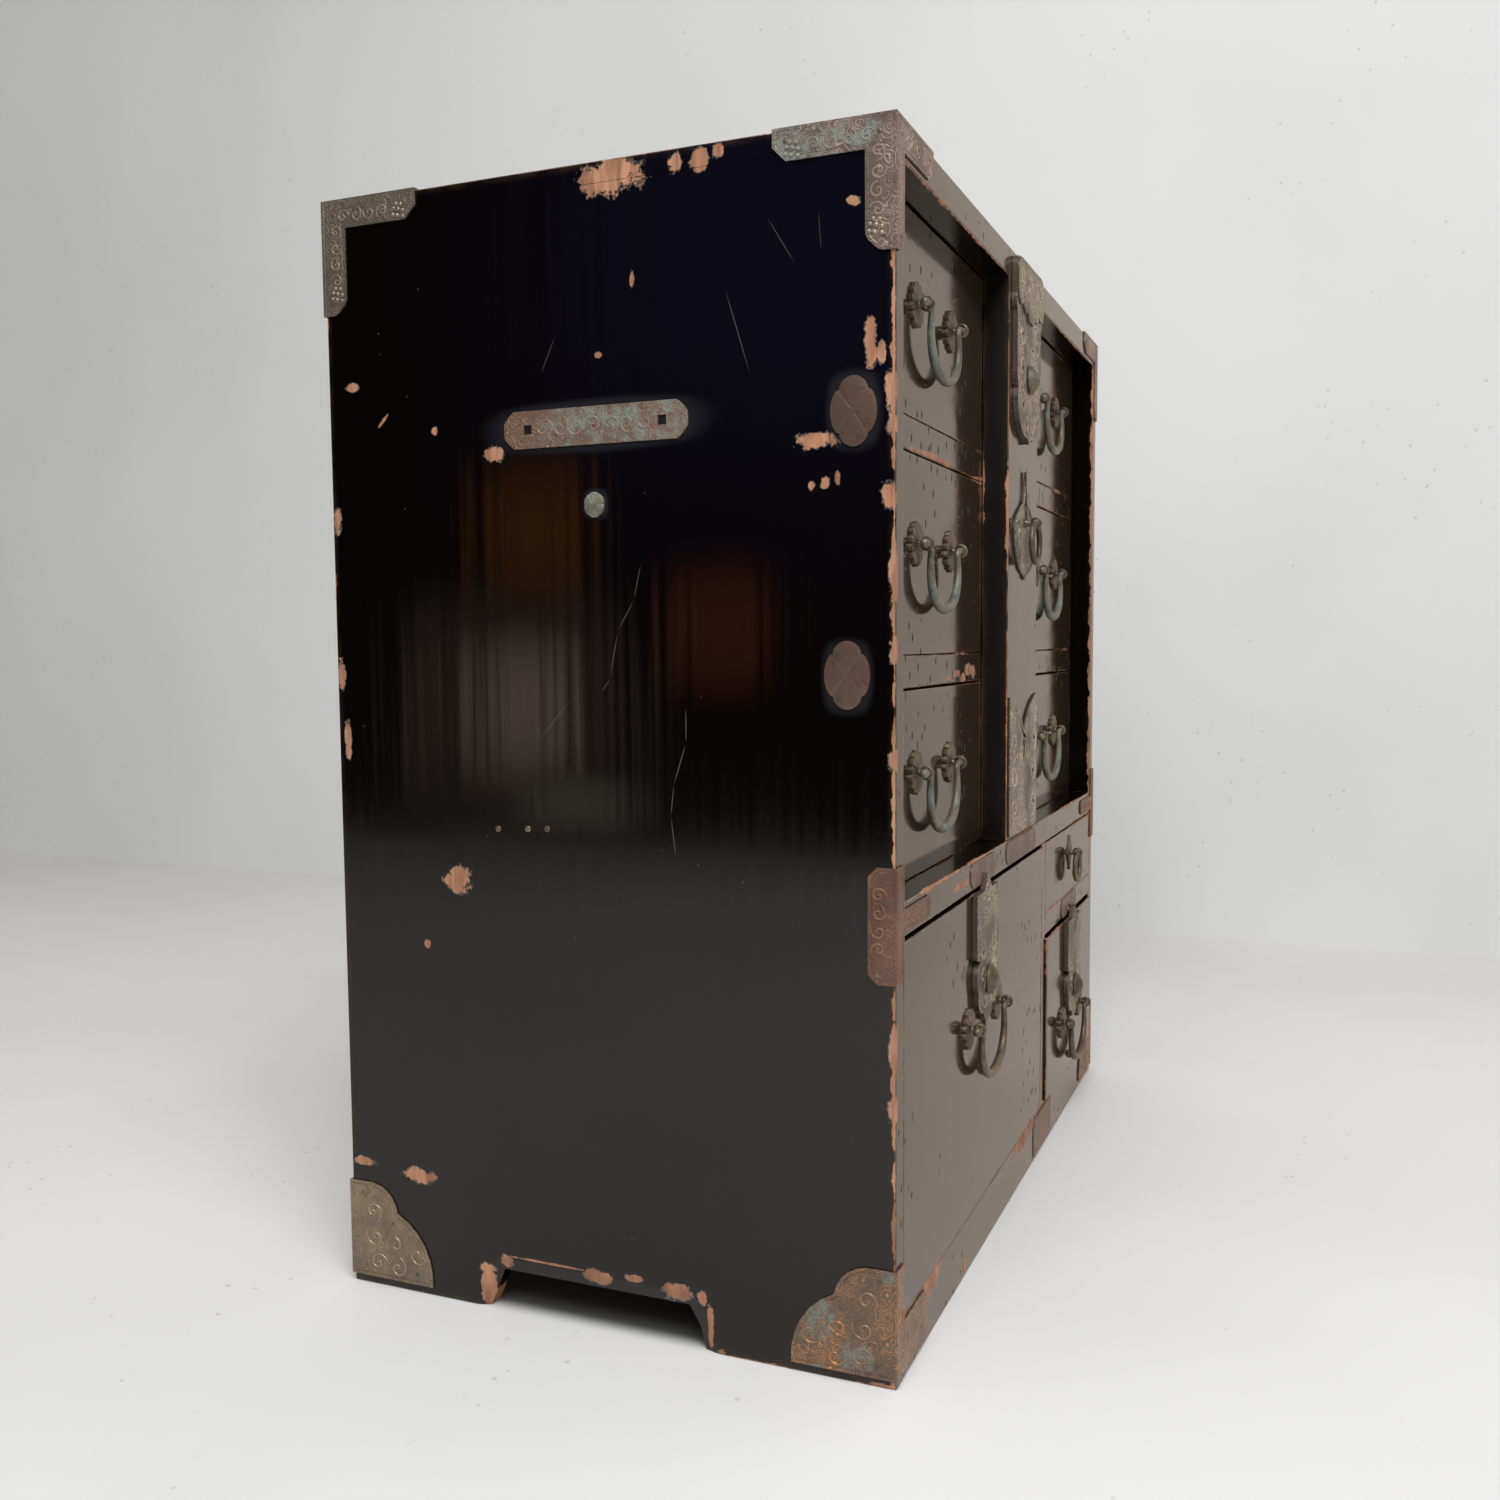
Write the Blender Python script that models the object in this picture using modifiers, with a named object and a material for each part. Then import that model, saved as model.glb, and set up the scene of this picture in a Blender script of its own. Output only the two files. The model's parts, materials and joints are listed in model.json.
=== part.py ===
"""Tansu chest: lacquered case, six small drawers behind a locking bar, three drawers below, metal fittings.

Metres, +Z up. The front faces -Y. The origin is on the floor, under the middle of the whole chest.
"""

import math
from dataclasses import dataclass

import bmesh
import bpy
from mathutils import Matrix, Vector

# Case
CASE_W = 0.835
CASE_D = 0.483
CASE_H = 0.900
SIDE_T = 0.018
TOP_T = 0.026
TOP_END_T = 0.016
SHELF_T = 0.0255
SHELF_TOP_Z = 0.355
BASE_RAIL_H = 0.047
BASE_RAIL_T = 0.022
BASE_BOARD_T = 0.012
BACK_T = 0.008
SEAT = 0.0003
ARRIS = 0.001

# Arch cut between the feet of a side board
FRONT_FOOT_L = 0.153
REAR_FOOT_L = 0.135
ARCH_H = 0.033
ARCH_SLOPE = 0.014
ARCH_CHAMFER_W = 0.013
ARCH_CHAMFER_D = 0.004

# Upper compartment
RECESS = 0.025
RAIL_H = 0.026
RAIL_D = 0.040
DUST_BOARD_T = 0.010
LOW_TIER_H = 0.151
PARTITION_T = 0.019
LAP_D = 0.200

# Lower compartment
LOWER_PARTITION_X = 0.114
SMALL_DRAWER_H = 0.077
SMALL_RAIL_H = 0.024

# Locking bar
BAR_W = 0.130
BAR_FIT = 0.0006
TONGUE_W = 0.070
TONGUE_T = 0.009
TONGUE_L = 0.008
TONGUE_SET_BACK = 0.008
MORTISE_SWING = 0.003

# Drawers
SMALL_FRONT_T = 0.018
LARGE_FRONT_T = 0.020
TRAY_WALL = 0.008
TRAY_DROP = 0.006
TRAY_BACK_GAP = 0.012
SIDE_GAP = 0.0015
SMALL_TOP_GAP = 0.0015
LARGE_TOP_GAP = 0.0035
DEEP_DRAWER_PROUD = 0.0025

# Bail pulls and ring pulls
POST_SPACING = 0.104
POST_R = 0.0032
EYE_REACH = 0.010
EYE_BORE = 0.0036
EYE_R = 0.0066
EYE_W = 0.005
ROSETTE_R = 0.017
ROSETTE_T = 0.0018
ROSETTE_LOBES = 8
LOZENGE_W = 0.030
LOZENGE_H = 0.040
STRIKER_R = 0.005
STRIKER_H = 0.0045
BAIL_DROP = 0.050
BAIL_END_R = 0.0026
BAIL_BELLY_R = 0.0042
BAIL_KNOB_R = 0.0044
BAIL_BEND = 0.006
BAIL_BULGE = 0.006
BAIL_RISE = 0.008
LOWER_BAIL_BELOW_TOP = 0.116
LARGE_PULL_SHIFT = -0.009
RING_R = 0.0155
BAR_RING_R = 0.0185
RING_WIRE_R = 0.0029

# Lock plates and their sliding knobs
LOCK_W = 0.078
LOCK_BOX_H = 0.056
LOCK_H = 0.116
LOCK_T = 0.005
LOCK_TAB_W = 0.026
LOCK_TAB_H = 0.014
LOCK_KNOB_DROP = 0.080
KNOB_R = 0.0138
KNOB_H = 0.0095
KNOB_STEM_R = 0.004
KNOB_STEM_L = 0.004
KNOB_TRAVEL = 0.006
KNOB_FIT = 0.0004

# Plates on the bar
BAR_TOP_PLATE_W = 0.112
BAR_TOP_PLATE_L = 0.170
BAR_TOP_HOOD_H = 0.054
BAR_TOP_KNOB_DROP = 0.110
BAR_MIDDLE_PLATE_W = 0.092
BAR_MIDDLE_PLATE_L = 0.103
BAR_MIDDLE_NECK_W = 0.018
BAR_MIDDLE_PLATE_TOP_DROP = 0.196
BAR_MIDDLE_EYE_DROP = 0.049
BAR_BOTTOM_PLATE_H = 0.132
BAR_BOTTOM_PLATE_NOTCH = 0.034
BAR_PLATE_MARGIN = 0.003
BAR_PLATE_T = 0.002
KEYHOLE_R = 0.004
KEYHOLE_L = 0.011
KEYHOLE_RISE = 0.080

# Sheet fittings nailed over the corners and edges
SHEET_T = 0.0012
TOP_LEG_L = 0.090
TOP_LEG_W = 0.0215
TOP_LEG_CHAMFER = 0.010
FOOT_PLATE_H = 0.089
FOOT_PLATE_L = 0.081
FOOT_PLATE_FLAT = 0.016
FOOT_PLATE_CUSP_L = 0.047
FOOT_PLATE_CUSP_H = 0.065
FOOT_PLATE_FLOOR_GAP = 0.007
FOOT_PLATE_FOLD = 0.022
EDGE_PLATE_W = 0.0205
EDGE_PLATE_UP = 0.028
EDGE_PLATE_DOWN = 0.031
EDGE_PLATE_CHAMFER = 0.007
EDGE_LEG_L = 0.086
EDGE_LEG_INSET = 0.0045
OPENING_MARGIN = 0.0015

# Plates on the sides
GRIP_PLATE_L = 0.157
GRIP_PLATE_H = 0.0285
GRIP_PLATE_CHAMFER = 0.009
GRIP_PLATE_Z = 0.707
GRIP_PLATE_FROM_FRONT = 0.2365
GRIP_HOLE = 0.007
GRIP_HOLE_SPACING = 0.115
SIDE_BOSS_R = 0.008
SIDE_BOSS_H = 0.003
SIDE_BOSS_BELOW_GRIP = 0.0595
COVER_W = 0.034
COVER_H = 0.047
COVER_BEHIND_RECESS = 0.010
COVER_LOBES = 4
SINK = 0.0006

# How round outlines are stepped
ARC_STEPS = 6
ROUND_SIDES = 16
EYE_SIDES = 12
RING_SIDES = 24
WIRE_SIDES = 8

# Places worked out from the sizes above
FOLD_OUT = SEAT + SHEET_T
KNOB_REACH = SEAT + LOCK_T + KNOB_FIT + KNOB_H
FRONT_REACH = DEEP_DRAWER_PROUD + max(KNOB_REACH, EYE_REACH + EYE_R)
FRONT_Y = (FRONT_REACH - CASE_D - FOLD_OUT) / 2
BACK_Y = FRONT_Y + CASE_D
PANEL_Y = BACK_Y - BACK_T
UPPER_Y = FRONT_Y + RECESS
HALF_W = CASE_W / 2
INNER_X = HALF_W - SIDE_T
CEILING_Z = CASE_H - TOP_T
LOWER_CEILING_Z = SHELF_TOP_Z - SHELF_T
UPPER_TIER_H = (CEILING_Z - SHELF_TOP_Z - LOW_TIER_H - 2 * RAIL_H) / 2
UPPER_RAIL_ZS = (SHELF_TOP_Z + LOW_TIER_H + RAIL_H + UPPER_TIER_H, SHELF_TOP_Z + LOW_TIER_H)
TIER_FLOOR_ZS = (UPPER_RAIL_ZS[0] + RAIL_H, UPPER_RAIL_ZS[1] + RAIL_H, SHELF_TOP_Z)
TIER_HEIGHTS = (UPPER_TIER_H, UPPER_TIER_H, LOW_TIER_H)
SMALL_FLOOR_Z = LOWER_CEILING_Z - SMALL_DRAWER_H
SMALL_RAIL_Z = SMALL_FLOOR_Z - SMALL_RAIL_H
OPENING_IN_X = BAR_W / 2


@dataclass(frozen=True)
class Finish:
    """Colour, roughness and metallic value of one kind of surface."""

    name: str
    colour: tuple
    roughness: float
    metallic: float


LACQUER = Finish("black_lacquer", (0.022, 0.018, 0.016, 1.0), 0.22, 0.0)
BARE_WOOD = Finish("bare_paulownia", (0.46, 0.31, 0.19, 1.0), 0.7, 0.0)
COPPER = Finish("aged_copper", (0.20, 0.14, 0.10, 1.0), 0.45, 1.0)
BRONZE = Finish("green_bronze", (0.17, 0.19, 0.15, 1.0), 0.5, 1.0)


def fresh_collection(name):
    collection = bpy.data.collections.new(name)
    bpy.context.scene.collection.children.link(collection)
    return collection


def material(finish):
    found = bpy.data.materials.get(finish.name)
    if found:
        return found
    made = bpy.data.materials.new(finish.name)
    made.use_nodes = True
    shader = made.node_tree.nodes["Principled BSDF"]
    shader.inputs["Base Color"].default_value = finish.colour
    shader.inputs["Roughness"].default_value = finish.roughness
    shader.inputs["Metallic"].default_value = finish.metallic
    return made


def add_part(name, data, finish, parent=None, location=(0, 0, 0)):
    """A part in world place, with its parent's place taken off."""
    part = bpy.data.objects.new(name, data)
    PARTS.objects.link(part)
    part.data.materials.append(material(finish))
    part.parent = parent
    part.location = Vector(location) - (parent.location if parent else Vector())
    return part


def add_empty(name, location):
    empty = bpy.data.objects.new(name, None)
    PARTS.objects.link(empty)
    empty.location = location
    return empty


def box_mesh(name, size):
    shape = bmesh.new()
    bmesh.ops.create_cube(shape, size=1.0)
    bmesh.ops.scale(shape, vec=size, verts=shape.verts)
    mesh = bpy.data.meshes.new(name)
    shape.to_mesh(mesh)
    shape.free()
    return mesh


def board(name, low, high, finish, parent=None):
    """A board between two corners, with its arrises eased."""
    low, high = Vector(low), Vector(high)
    part = add_part(name, box_mesh(name, high - low), finish, parent, (low + high) / 2)
    bevel = part.modifiers.new("arris", "BEVEL")
    bevel.width = ARRIS
    bevel.segments = 1
    return part


def as_helper(part):
    """Marks an object as a cutter or a piece that a Boolean joins to another."""
    for collection in part.users_collection:
        collection.objects.unlink(part)
    HELPERS.objects.link(part)
    part.hide_render = True
    part.display_type = "WIRE"
    return part


def helper(name, data, location=(0, 0, 0), turn=None):
    made = bpy.data.objects.new(name, data)
    if turn:
        made.matrix_world = Matrix.Translation(location) @ turn.to_4x4()
    else:
        made.location = location
    return as_helper(made)


def box_helper(name, low, high):
    low, high = Vector(low), Vector(high)
    return helper(name, box_mesh(name, high - low), (low + high) / 2)


def combine(part, tool, operation):
    modifier = part.modifiers.new(f"{operation.lower()} {tool.name}", "BOOLEAN")
    modifier.operation = operation
    modifier.solver = "EXACT"
    modifier.object = tool
    return part


def cut(part, tool):
    return combine(part, tool, "DIFFERENCE")


def fuse(part, tool):
    return combine(part, tool, "UNION")


def arc(start, end, rise):
    """Points from start up to, not with, end. Rise is the arc's height over its chord, to the left of travel."""
    start, end = Vector(start), Vector(end)
    if not rise:
        return [start]
    along = (end - start).normalized()
    left = Vector((-along.y, along.x))
    half_angle = 2 * math.atan(2 * abs(rise))
    radius = (end - start).length / 2 / math.sin(half_angle)
    middle = (start + end) / 2
    points = []
    for step in range(ARC_STEPS):
        angle = half_angle * (2 * step / ARC_STEPS - 1)
        height = radius * (math.cos(angle) - math.cos(half_angle))
        points.append(middle + along * radius * math.sin(angle) + left * math.copysign(height, rise))
    return points


def outline(corners):
    """An outline from (across, up, rise) corners: each side to the next corner is straight or an arc."""
    points = []
    for (x, y, rise), (next_x, next_y, _) in zip(corners, corners[1:] + corners[:1]):
        points += arc((x, y), (next_x, next_y), rise)
    return points


def mirrored_outline(right_half):
    """A symmetric outline from its right half, from the top down, ends on or off the middle line."""
    points = []
    for (x, y, rise), (next_x, next_y, _) in zip(right_half, right_half[1:]):
        points += arc((x, y), (next_x, next_y), rise)
    points.append(Vector(right_half[-1][:2]))
    left = [Vector((-point.x, point.y)) for point in reversed(points) if point.x > 1e-6]
    return points + left


def lobed_outline(width, height, lobes, steps):
    """A round-lobed flower: equal circles set round the middle, with a cusp between each two."""
    spread = 0.5 if lobes < 6 else 0.62
    lobe_r = 1 - spread
    points = []
    for step in range(lobes * steps):
        angle = 2 * math.pi * step / (lobes * steps)
        off = (angle + math.pi / lobes) % (2 * math.pi / lobes) - math.pi / lobes
        reach = spread * math.cos(off) + math.sqrt(lobe_r**2 - (spread * math.sin(off)) ** 2)
        points.append(Vector((math.cos(angle) * reach * width / 2, math.sin(angle) * reach * height / 2)))
    return points


def circle_outline(radius, sides, centre=(0, 0)):
    turns = [2 * math.pi * step / sides for step in range(sides)]
    return [Vector((centre[0] + radius * math.cos(t), centre[1] + radius * math.sin(t))) for t in turns]


def slot_outline(radius, length, centre):
    """An upright slot with round ends, its straight part of the given length."""
    x, y = centre
    half = length / 2
    return outline(
        [
            (x + radius, y - half, 0),
            (x + radius, y + half, -0.5),
            (x - radius, y + half, 0),
            (x - radius, y - half, -0.5),
        ]
    )


def plate_mesh(name, rims, thickness):
    """A flat plate from outer and inner rims, lying on its XY plane and rising to its thickness."""
    curve = bpy.data.curves.new(name, "CURVE")
    curve.dimensions = "2D"
    curve.fill_mode = "BOTH"
    curve.extrude = thickness / 2
    for rim in rims:
        spline = curve.splines.new("POLY")
        spline.points.add(len(rim) - 1)
        for knot, point in zip(spline.points, rim):
            knot.co = (point[0], point[1], 0, 1)
        spline.use_cyclic_u = True
    drawn = bpy.data.objects.new(name, curve)
    bpy.context.scene.collection.objects.link(drawn)
    graph = bpy.context.evaluated_depsgraph_get()
    mesh = bpy.data.meshes.new_from_object(drawn.evaluated_get(graph))
    bpy.data.objects.remove(drawn)
    bpy.data.curves.remove(curve)
    shape = bmesh.new()
    shape.from_mesh(mesh)
    bmesh.ops.remove_doubles(shape, verts=shape.verts, dist=1e-6)
    bmesh.ops.translate(shape, vec=(0, 0, thickness / 2), verts=shape.verts)
    bmesh.ops.recalc_face_normals(shape, faces=shape.faces)
    shape.to_mesh(mesh)
    shape.free()
    return mesh


# Turns that lay a plate's XY plane on a face of the chest, with its thickness outwards
ON_FRONT = Matrix(((1, 0, 0), (0, 0, -1), (0, 1, 0)))
ON_BACK = Matrix(((-1, 0, 0), (0, 0, 1), (0, 1, 0)))
ON_LEFT = Matrix(((0, 0, -1), (-1, 0, 0), (0, 1, 0)))
ON_RIGHT = Matrix(((0, 0, 1), (1, 0, 0), (0, 1, 0)))


def laid(mesh, turn, location=(0, 0, 0)):
    mesh.transform(Matrix.Translation(location) @ turn.to_4x4())
    return mesh


def turned_mesh(name, profile):
    """A solid of revolution about Z from a profile that runs from the axis, down the outside, to the axis."""
    shape = bmesh.new()
    knots = [shape.verts.new((radius, 0, height)) for radius, height in profile]
    for first, second in zip(knots, knots[1:]):
        shape.edges.new((first, second))
    mesh = bpy.data.meshes.new(name)
    shape.to_mesh(mesh)
    shape.free()
    return mesh


def add_turning(part):
    screw = part.modifiers.new("turn", "SCREW")
    screw.steps = ROUND_SIDES
    screw.render_steps = ROUND_SIDES
    screw.use_merge_vertices = True
    screw.merge_threshold = 1e-5
    screw.use_smooth_shade = True
    return part


def build_sides():
    """The two side boards with the arch between their feet and the plates that lie on them."""
    for name, hand in (("side_left", -1), ("side_right", 1)):
        inner, outer = hand * INNER_X, hand * HALF_W
        low = (min(inner, outer), FRONT_Y, 0)
        high = (max(inner, outer), BACK_Y, CASE_H - TOP_END_T - SEAT)
        side = board(name, low, high, LACQUER)
        cut(side, arch_cutter(f"{name}_arch", hand))
        for tool in side_plates(name, hand):
            fuse(side, tool)


def arch_loop(shape, x, spread):
    """Four corners of the arch in one plane across the side board, widened by the chamfer's spread."""
    front = FRONT_Y + FRONT_FOOT_L - spread
    rear = BACK_Y - REAR_FOOT_L + spread
    top = ARCH_H + spread
    below = -ARCH_H
    run = ARCH_SLOPE * (top - below) / ARCH_H
    corners = (
        (front - ARCH_SLOPE, below),
        (front - ARCH_SLOPE + run, top),
        (rear + ARCH_SLOPE - run, top),
        (rear + ARCH_SLOPE, below),
    )
    verts = [shape.verts.new((x, y, z)) for y, z in corners]
    return [shape.edges.new((a, b)) for a, b in zip(verts, verts[1:] + verts[:1])]


def arch_cutter(name, hand):
    """Cuts the arch right through, with a chamfer along its edge on the outer face."""
    shape = bmesh.new()
    flare = ARCH_CHAMFER_W / ARCH_CHAMFER_D
    stations = (
        (INNER_X - SIDE_T, 0),
        (HALF_W - ARCH_CHAMFER_D, 0),
        (HALF_W + ARCH_CHAMFER_D, 2 * ARCH_CHAMFER_D * flare),
    )
    loops = [arch_loop(shape, hand * x, spread) for x, spread in stations]
    for near, far in zip(loops, loops[1:]):
        bmesh.ops.bridge_loops(shape, edges=near + far)
    for loop in (loops[0], loops[-1]):
        bmesh.ops.contextual_create(shape, geom=loop)
    bmesh.ops.recalc_face_normals(shape, faces=shape.faces)
    mesh = bpy.data.meshes.new(name)
    shape.to_mesh(mesh)
    shape.free()
    return helper(name, mesh)


def side_plates(name, hand):
    """The plate for a carrying grip, the boss below it and the covers over the ends of the drawer rails."""
    turn = ON_RIGHT if hand > 0 else ON_LEFT
    skin = hand * (HALF_W - SINK)
    half_l, half_h, chamfer = GRIP_PLATE_L / 2, GRIP_PLATE_H / 2, GRIP_PLATE_CHAMFER
    grip = mirrored_outline(
        [
            (half_l - chamfer, half_h, 0),
            (half_l, half_h - chamfer, 0),
            (half_l, chamfer - half_h, 0),
            (half_l - chamfer, -half_h, 0),
        ]
    )
    hole_x, hole = GRIP_HOLE_SPACING / 2, GRIP_HOLE / 2
    holes = [
        [Vector((x - hole, -hole)), Vector((x + hole, -hole)), Vector((x + hole, hole)), Vector((x - hole, hole))]
        for x in (-hole_x, hole_x)
    ]
    cover = lobed_outline(COVER_W, COVER_H, COVER_LOBES, ARC_STEPS)
    boss = circle_outline(SIDE_BOSS_R, EYE_SIDES)
    cover_from_front = RECESS + COVER_BEHIND_RECESS
    places = [
        ("grip_plate", [grip] + holes, SHEET_T, GRIP_PLATE_FROM_FRONT, GRIP_PLATE_Z),
        ("boss", [boss], SIDE_BOSS_H, GRIP_PLATE_FROM_FRONT, GRIP_PLATE_Z - SIDE_BOSS_BELOW_GRIP),
    ]
    for index, rail_z in enumerate(UPPER_RAIL_ZS):
        places.append((f"cover_{index + 1}", [cover], SHEET_T, cover_from_front, rail_z + RAIL_H / 2))
    tools = []
    for label, rims, thickness, from_front, z in places:
        mesh = plate_mesh(label, rims, thickness + SINK)
        tools.append(helper(f"{name}_{label}", laid(mesh, turn, (skin, FRONT_Y + from_front, z))))
    return tools


def build_case_boards():
    """Top, shelf, base, back and the boards that part the compartments."""
    edge = INNER_X - SEAT
    top = board("top_board", (-HALF_W, FRONT_Y, CEILING_Z), (HALF_W, BACK_Y, CASE_H), LACQUER)
    for hand in (-1, 1):
        ends = sorted((hand * (INNER_X - SEAT), hand * (HALF_W + SIDE_T)))
        low = (ends[0], FRONT_Y - SIDE_T, CEILING_Z - TOP_T)
        cut(top, box_helper(f"top_lap_{hand}", low, (ends[1], BACK_Y + SIDE_T, CASE_H - TOP_END_T)))
    notch = BAR_W / 2 + BAR_FIT
    low = (-notch, FRONT_Y - RECESS, CEILING_Z - TOP_T)
    cut(top, box_helper("bar_notch", low, (notch, UPPER_Y, CASE_H + TOP_T)))

    shelf = board("middle_shelf", (-edge, FRONT_Y, LOWER_CEILING_Z), (edge, PANEL_Y - SEAT, SHELF_TOP_Z), LACQUER)
    mortise_x = TONGUE_W / 2 + BAR_FIT
    mortise_y = FRONT_Y + TONGUE_SET_BACK - BAR_FIT
    low = (-mortise_x, mortise_y, SHELF_TOP_Z - TONGUE_L - BAR_FIT)
    high = (mortise_x, mortise_y + TONGUE_T + MORTISE_SWING + 2 * BAR_FIT, SHELF_TOP_Z + SHELF_T)
    cut(shelf, box_helper("bar_mortise", low, high))

    board("bottom_rail", (-edge, FRONT_Y, 0), (edge, FRONT_Y + BASE_RAIL_T, BASE_RAIL_H), LACQUER)
    base_low = (-edge, FRONT_Y + BASE_RAIL_T + SEAT, BASE_RAIL_H - BASE_BOARD_T)
    board("bottom_board", base_low, (edge, PANEL_Y - SEAT, BASE_RAIL_H), BARE_WOOD)
    board("back_panel", (-edge, PANEL_Y, BASE_RAIL_H - BASE_BOARD_T), (edge, BACK_Y, CEILING_Z - SEAT), BARE_WOOD)

    half_t = PARTITION_T / 2
    low = (LOWER_PARTITION_X - half_t, FRONT_Y, BASE_RAIL_H + SEAT)
    board("lower_partition", low, (LOWER_PARTITION_X + half_t, PANEL_Y - SEAT, LOWER_CEILING_Z - SEAT), LACQUER)


def rail_shelf(name, low_x, high_x, front_y, low_z, rail_h):
    """A drawer shelf: a tall rail at the front with a thin dust board behind it, level at the top."""
    high_z = low_z + rail_h
    shelf = board(name, (low_x, front_y, low_z), (high_x, PANEL_Y - SEAT, high_z), LACQUER)
    low = (low_x - SIDE_T, front_y + RAIL_D, low_z - rail_h)
    return cut(shelf, box_helper(f"{name}_under", low, (high_x + SIDE_T, BACK_Y, high_z - DUST_BOARD_T)))


def build_upper_frame():
    """Two partitions behind the bar, half lapped with two drawer shelves that run the full width."""
    half_t = PARTITION_T / 2
    centre = OPENING_IN_X - half_t
    lap_y = UPPER_Y + LAP_D
    edge = INNER_X - SEAT
    shelves = []
    for index, rail_z in enumerate(UPPER_RAIL_ZS):
        shelves.append(rail_shelf(f"upper_shelf_{index + 1}", -edge, edge, UPPER_Y, rail_z, RAIL_H))
    for name, x in (("partition_left", -centre), ("partition_right", centre)):
        low = (x - half_t, UPPER_Y + BAR_FIT, SHELF_TOP_Z + SEAT)
        partition = board(name, low, (x + half_t, PANEL_Y - SEAT, CEILING_Z - SEAT), LACQUER)
        for index, (shelf, rail_z) in enumerate(zip(shelves, UPPER_RAIL_ZS)):
            low = (x - half_t - SEAT, lap_y - SEAT / 2, rail_z - RAIL_H)
            high = (x + half_t + SEAT, BACK_Y, rail_z + 2 * RAIL_H)
            cut(shelf, box_helper(f"{name}_lap_{index + 1}", low, high))
            low = (x - PARTITION_T, FRONT_Y, rail_z - SEAT)
            high = (x + PARTITION_T, lap_y + SEAT / 2, rail_z + RAIL_H + SEAT)
            cut(partition, box_helper(f"{name}_slot_{index + 1}", low, high))


def build_small_shelf():
    low_x = LOWER_PARTITION_X + PARTITION_T / 2 + SEAT
    rail_shelf("small_drawer_shelf", low_x, INNER_X - SEAT, FRONT_Y, SMALL_RAIL_Z, SMALL_RAIL_H)


@dataclass(frozen=True)
class Drawer:
    """One drawer: its opening, the plane of its face and what pulls it."""

    name: str
    low_x: float
    high_x: float
    low_z: float
    high_z: float
    face_y: float
    front_t: float
    top_gap: float
    pull: str
    pull_z: float
    locks: bool
    pull_shift: float = 0.0

    @property
    def middle_x(self):
        return (self.low_x + self.high_x) / 2 + self.pull_shift


def drawer_list():
    drawers = []
    for side, hand in (("left", -1), ("right", 1)):
        low_x, high_x = sorted((hand * OPENING_IN_X, hand * INNER_X))
        for index, (floor, height) in enumerate(zip(TIER_FLOOR_ZS, TIER_HEIGHTS)):
            pull_z = floor + height / 2 + BAIL_RISE
            drawers.append(
                Drawer(f"{side}_drawer_{index + 1}", low_x, high_x, floor, floor + height, UPPER_Y, SMALL_FRONT_T,
                       SMALL_TOP_GAP, "bail", pull_z, False)
            )
    left_x = LOWER_PARTITION_X - PARTITION_T / 2
    right_x = LOWER_PARTITION_X + PARTITION_T / 2
    drawers.append(
        Drawer("large_drawer", -INNER_X, left_x, BASE_RAIL_H, LOWER_CEILING_Z, FRONT_Y, LARGE_FRONT_T,
               LARGE_TOP_GAP, "bail", LOWER_CEILING_Z - LOWER_BAIL_BELOW_TOP, True, LARGE_PULL_SHIFT)
    )
    drawers.append(
        Drawer("deep_drawer", right_x, INNER_X, BASE_RAIL_H, SMALL_RAIL_Z, FRONT_Y - DEEP_DRAWER_PROUD,
               LARGE_FRONT_T, LARGE_TOP_GAP, "bail", SMALL_RAIL_Z - LOWER_BAIL_BELOW_TOP, True)
    )
    drawers.append(
        Drawer("small_drawer", right_x, INNER_X, SMALL_FLOOR_Z, LOWER_CEILING_Z, FRONT_Y, LARGE_FRONT_T,
               SMALL_TOP_GAP, "ring", SMALL_FLOOR_Z + SMALL_DRAWER_H / 2 + BAIL_RISE, False)
    )
    return drawers


def build_drawer(drawer):
    """The front with its posts, the tray behind it, the pull and any lock."""
    home = add_empty(drawer.name, (drawer.middle_x, drawer.face_y, drawer.low_z))
    low = (drawer.low_x + SIDE_GAP, drawer.face_y, drawer.low_z + SEAT)
    high = (drawer.high_x - SIDE_GAP, drawer.face_y + drawer.front_t, drawer.high_z - drawer.top_gap)
    front = board(f"{drawer.name}_front", low, high, LACQUER, home)
    tray(drawer, home, low, high)
    if drawer.pull == "bail":
        rosette = lobed_outline(2 * ROSETTE_R, 2 * ROSETTE_R, ROSETTE_LOBES, 3)
        for hand in (-1, 1):
            post_x = drawer.middle_x + hand * POST_SPACING / 2
            add_rosette(front, f"{drawer.name}_rosette_{hand}", rosette, (post_x, drawer.face_y, drawer.pull_z))
            add_post(front, f"{drawer.name}_post_{hand}", (post_x, drawer.face_y, drawer.pull_z))
        build_bail(f"{drawer.name}_bail", home, (drawer.middle_x, drawer.face_y - EYE_REACH, drawer.pull_z))
    else:
        seat = (drawer.middle_x, drawer.face_y, drawer.pull_z)
        lozenge = mirrored_outline([(0, LOZENGE_H / 2, 0), (LOZENGE_W / 2, 0, 0), (0, -LOZENGE_H / 2, 0)])
        add_rosette(front, f"{drawer.name}_lozenge", lozenge, seat)
        add_post(front, f"{drawer.name}_post", seat)
        eye = (drawer.middle_x, drawer.face_y - EYE_REACH, drawer.pull_z)
        build_ring(f"{drawer.name}_ring", home, eye, RING_R)
    if drawer.locks:
        add_striker(front, drawer)
        build_drawer_lock(drawer, home)


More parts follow.
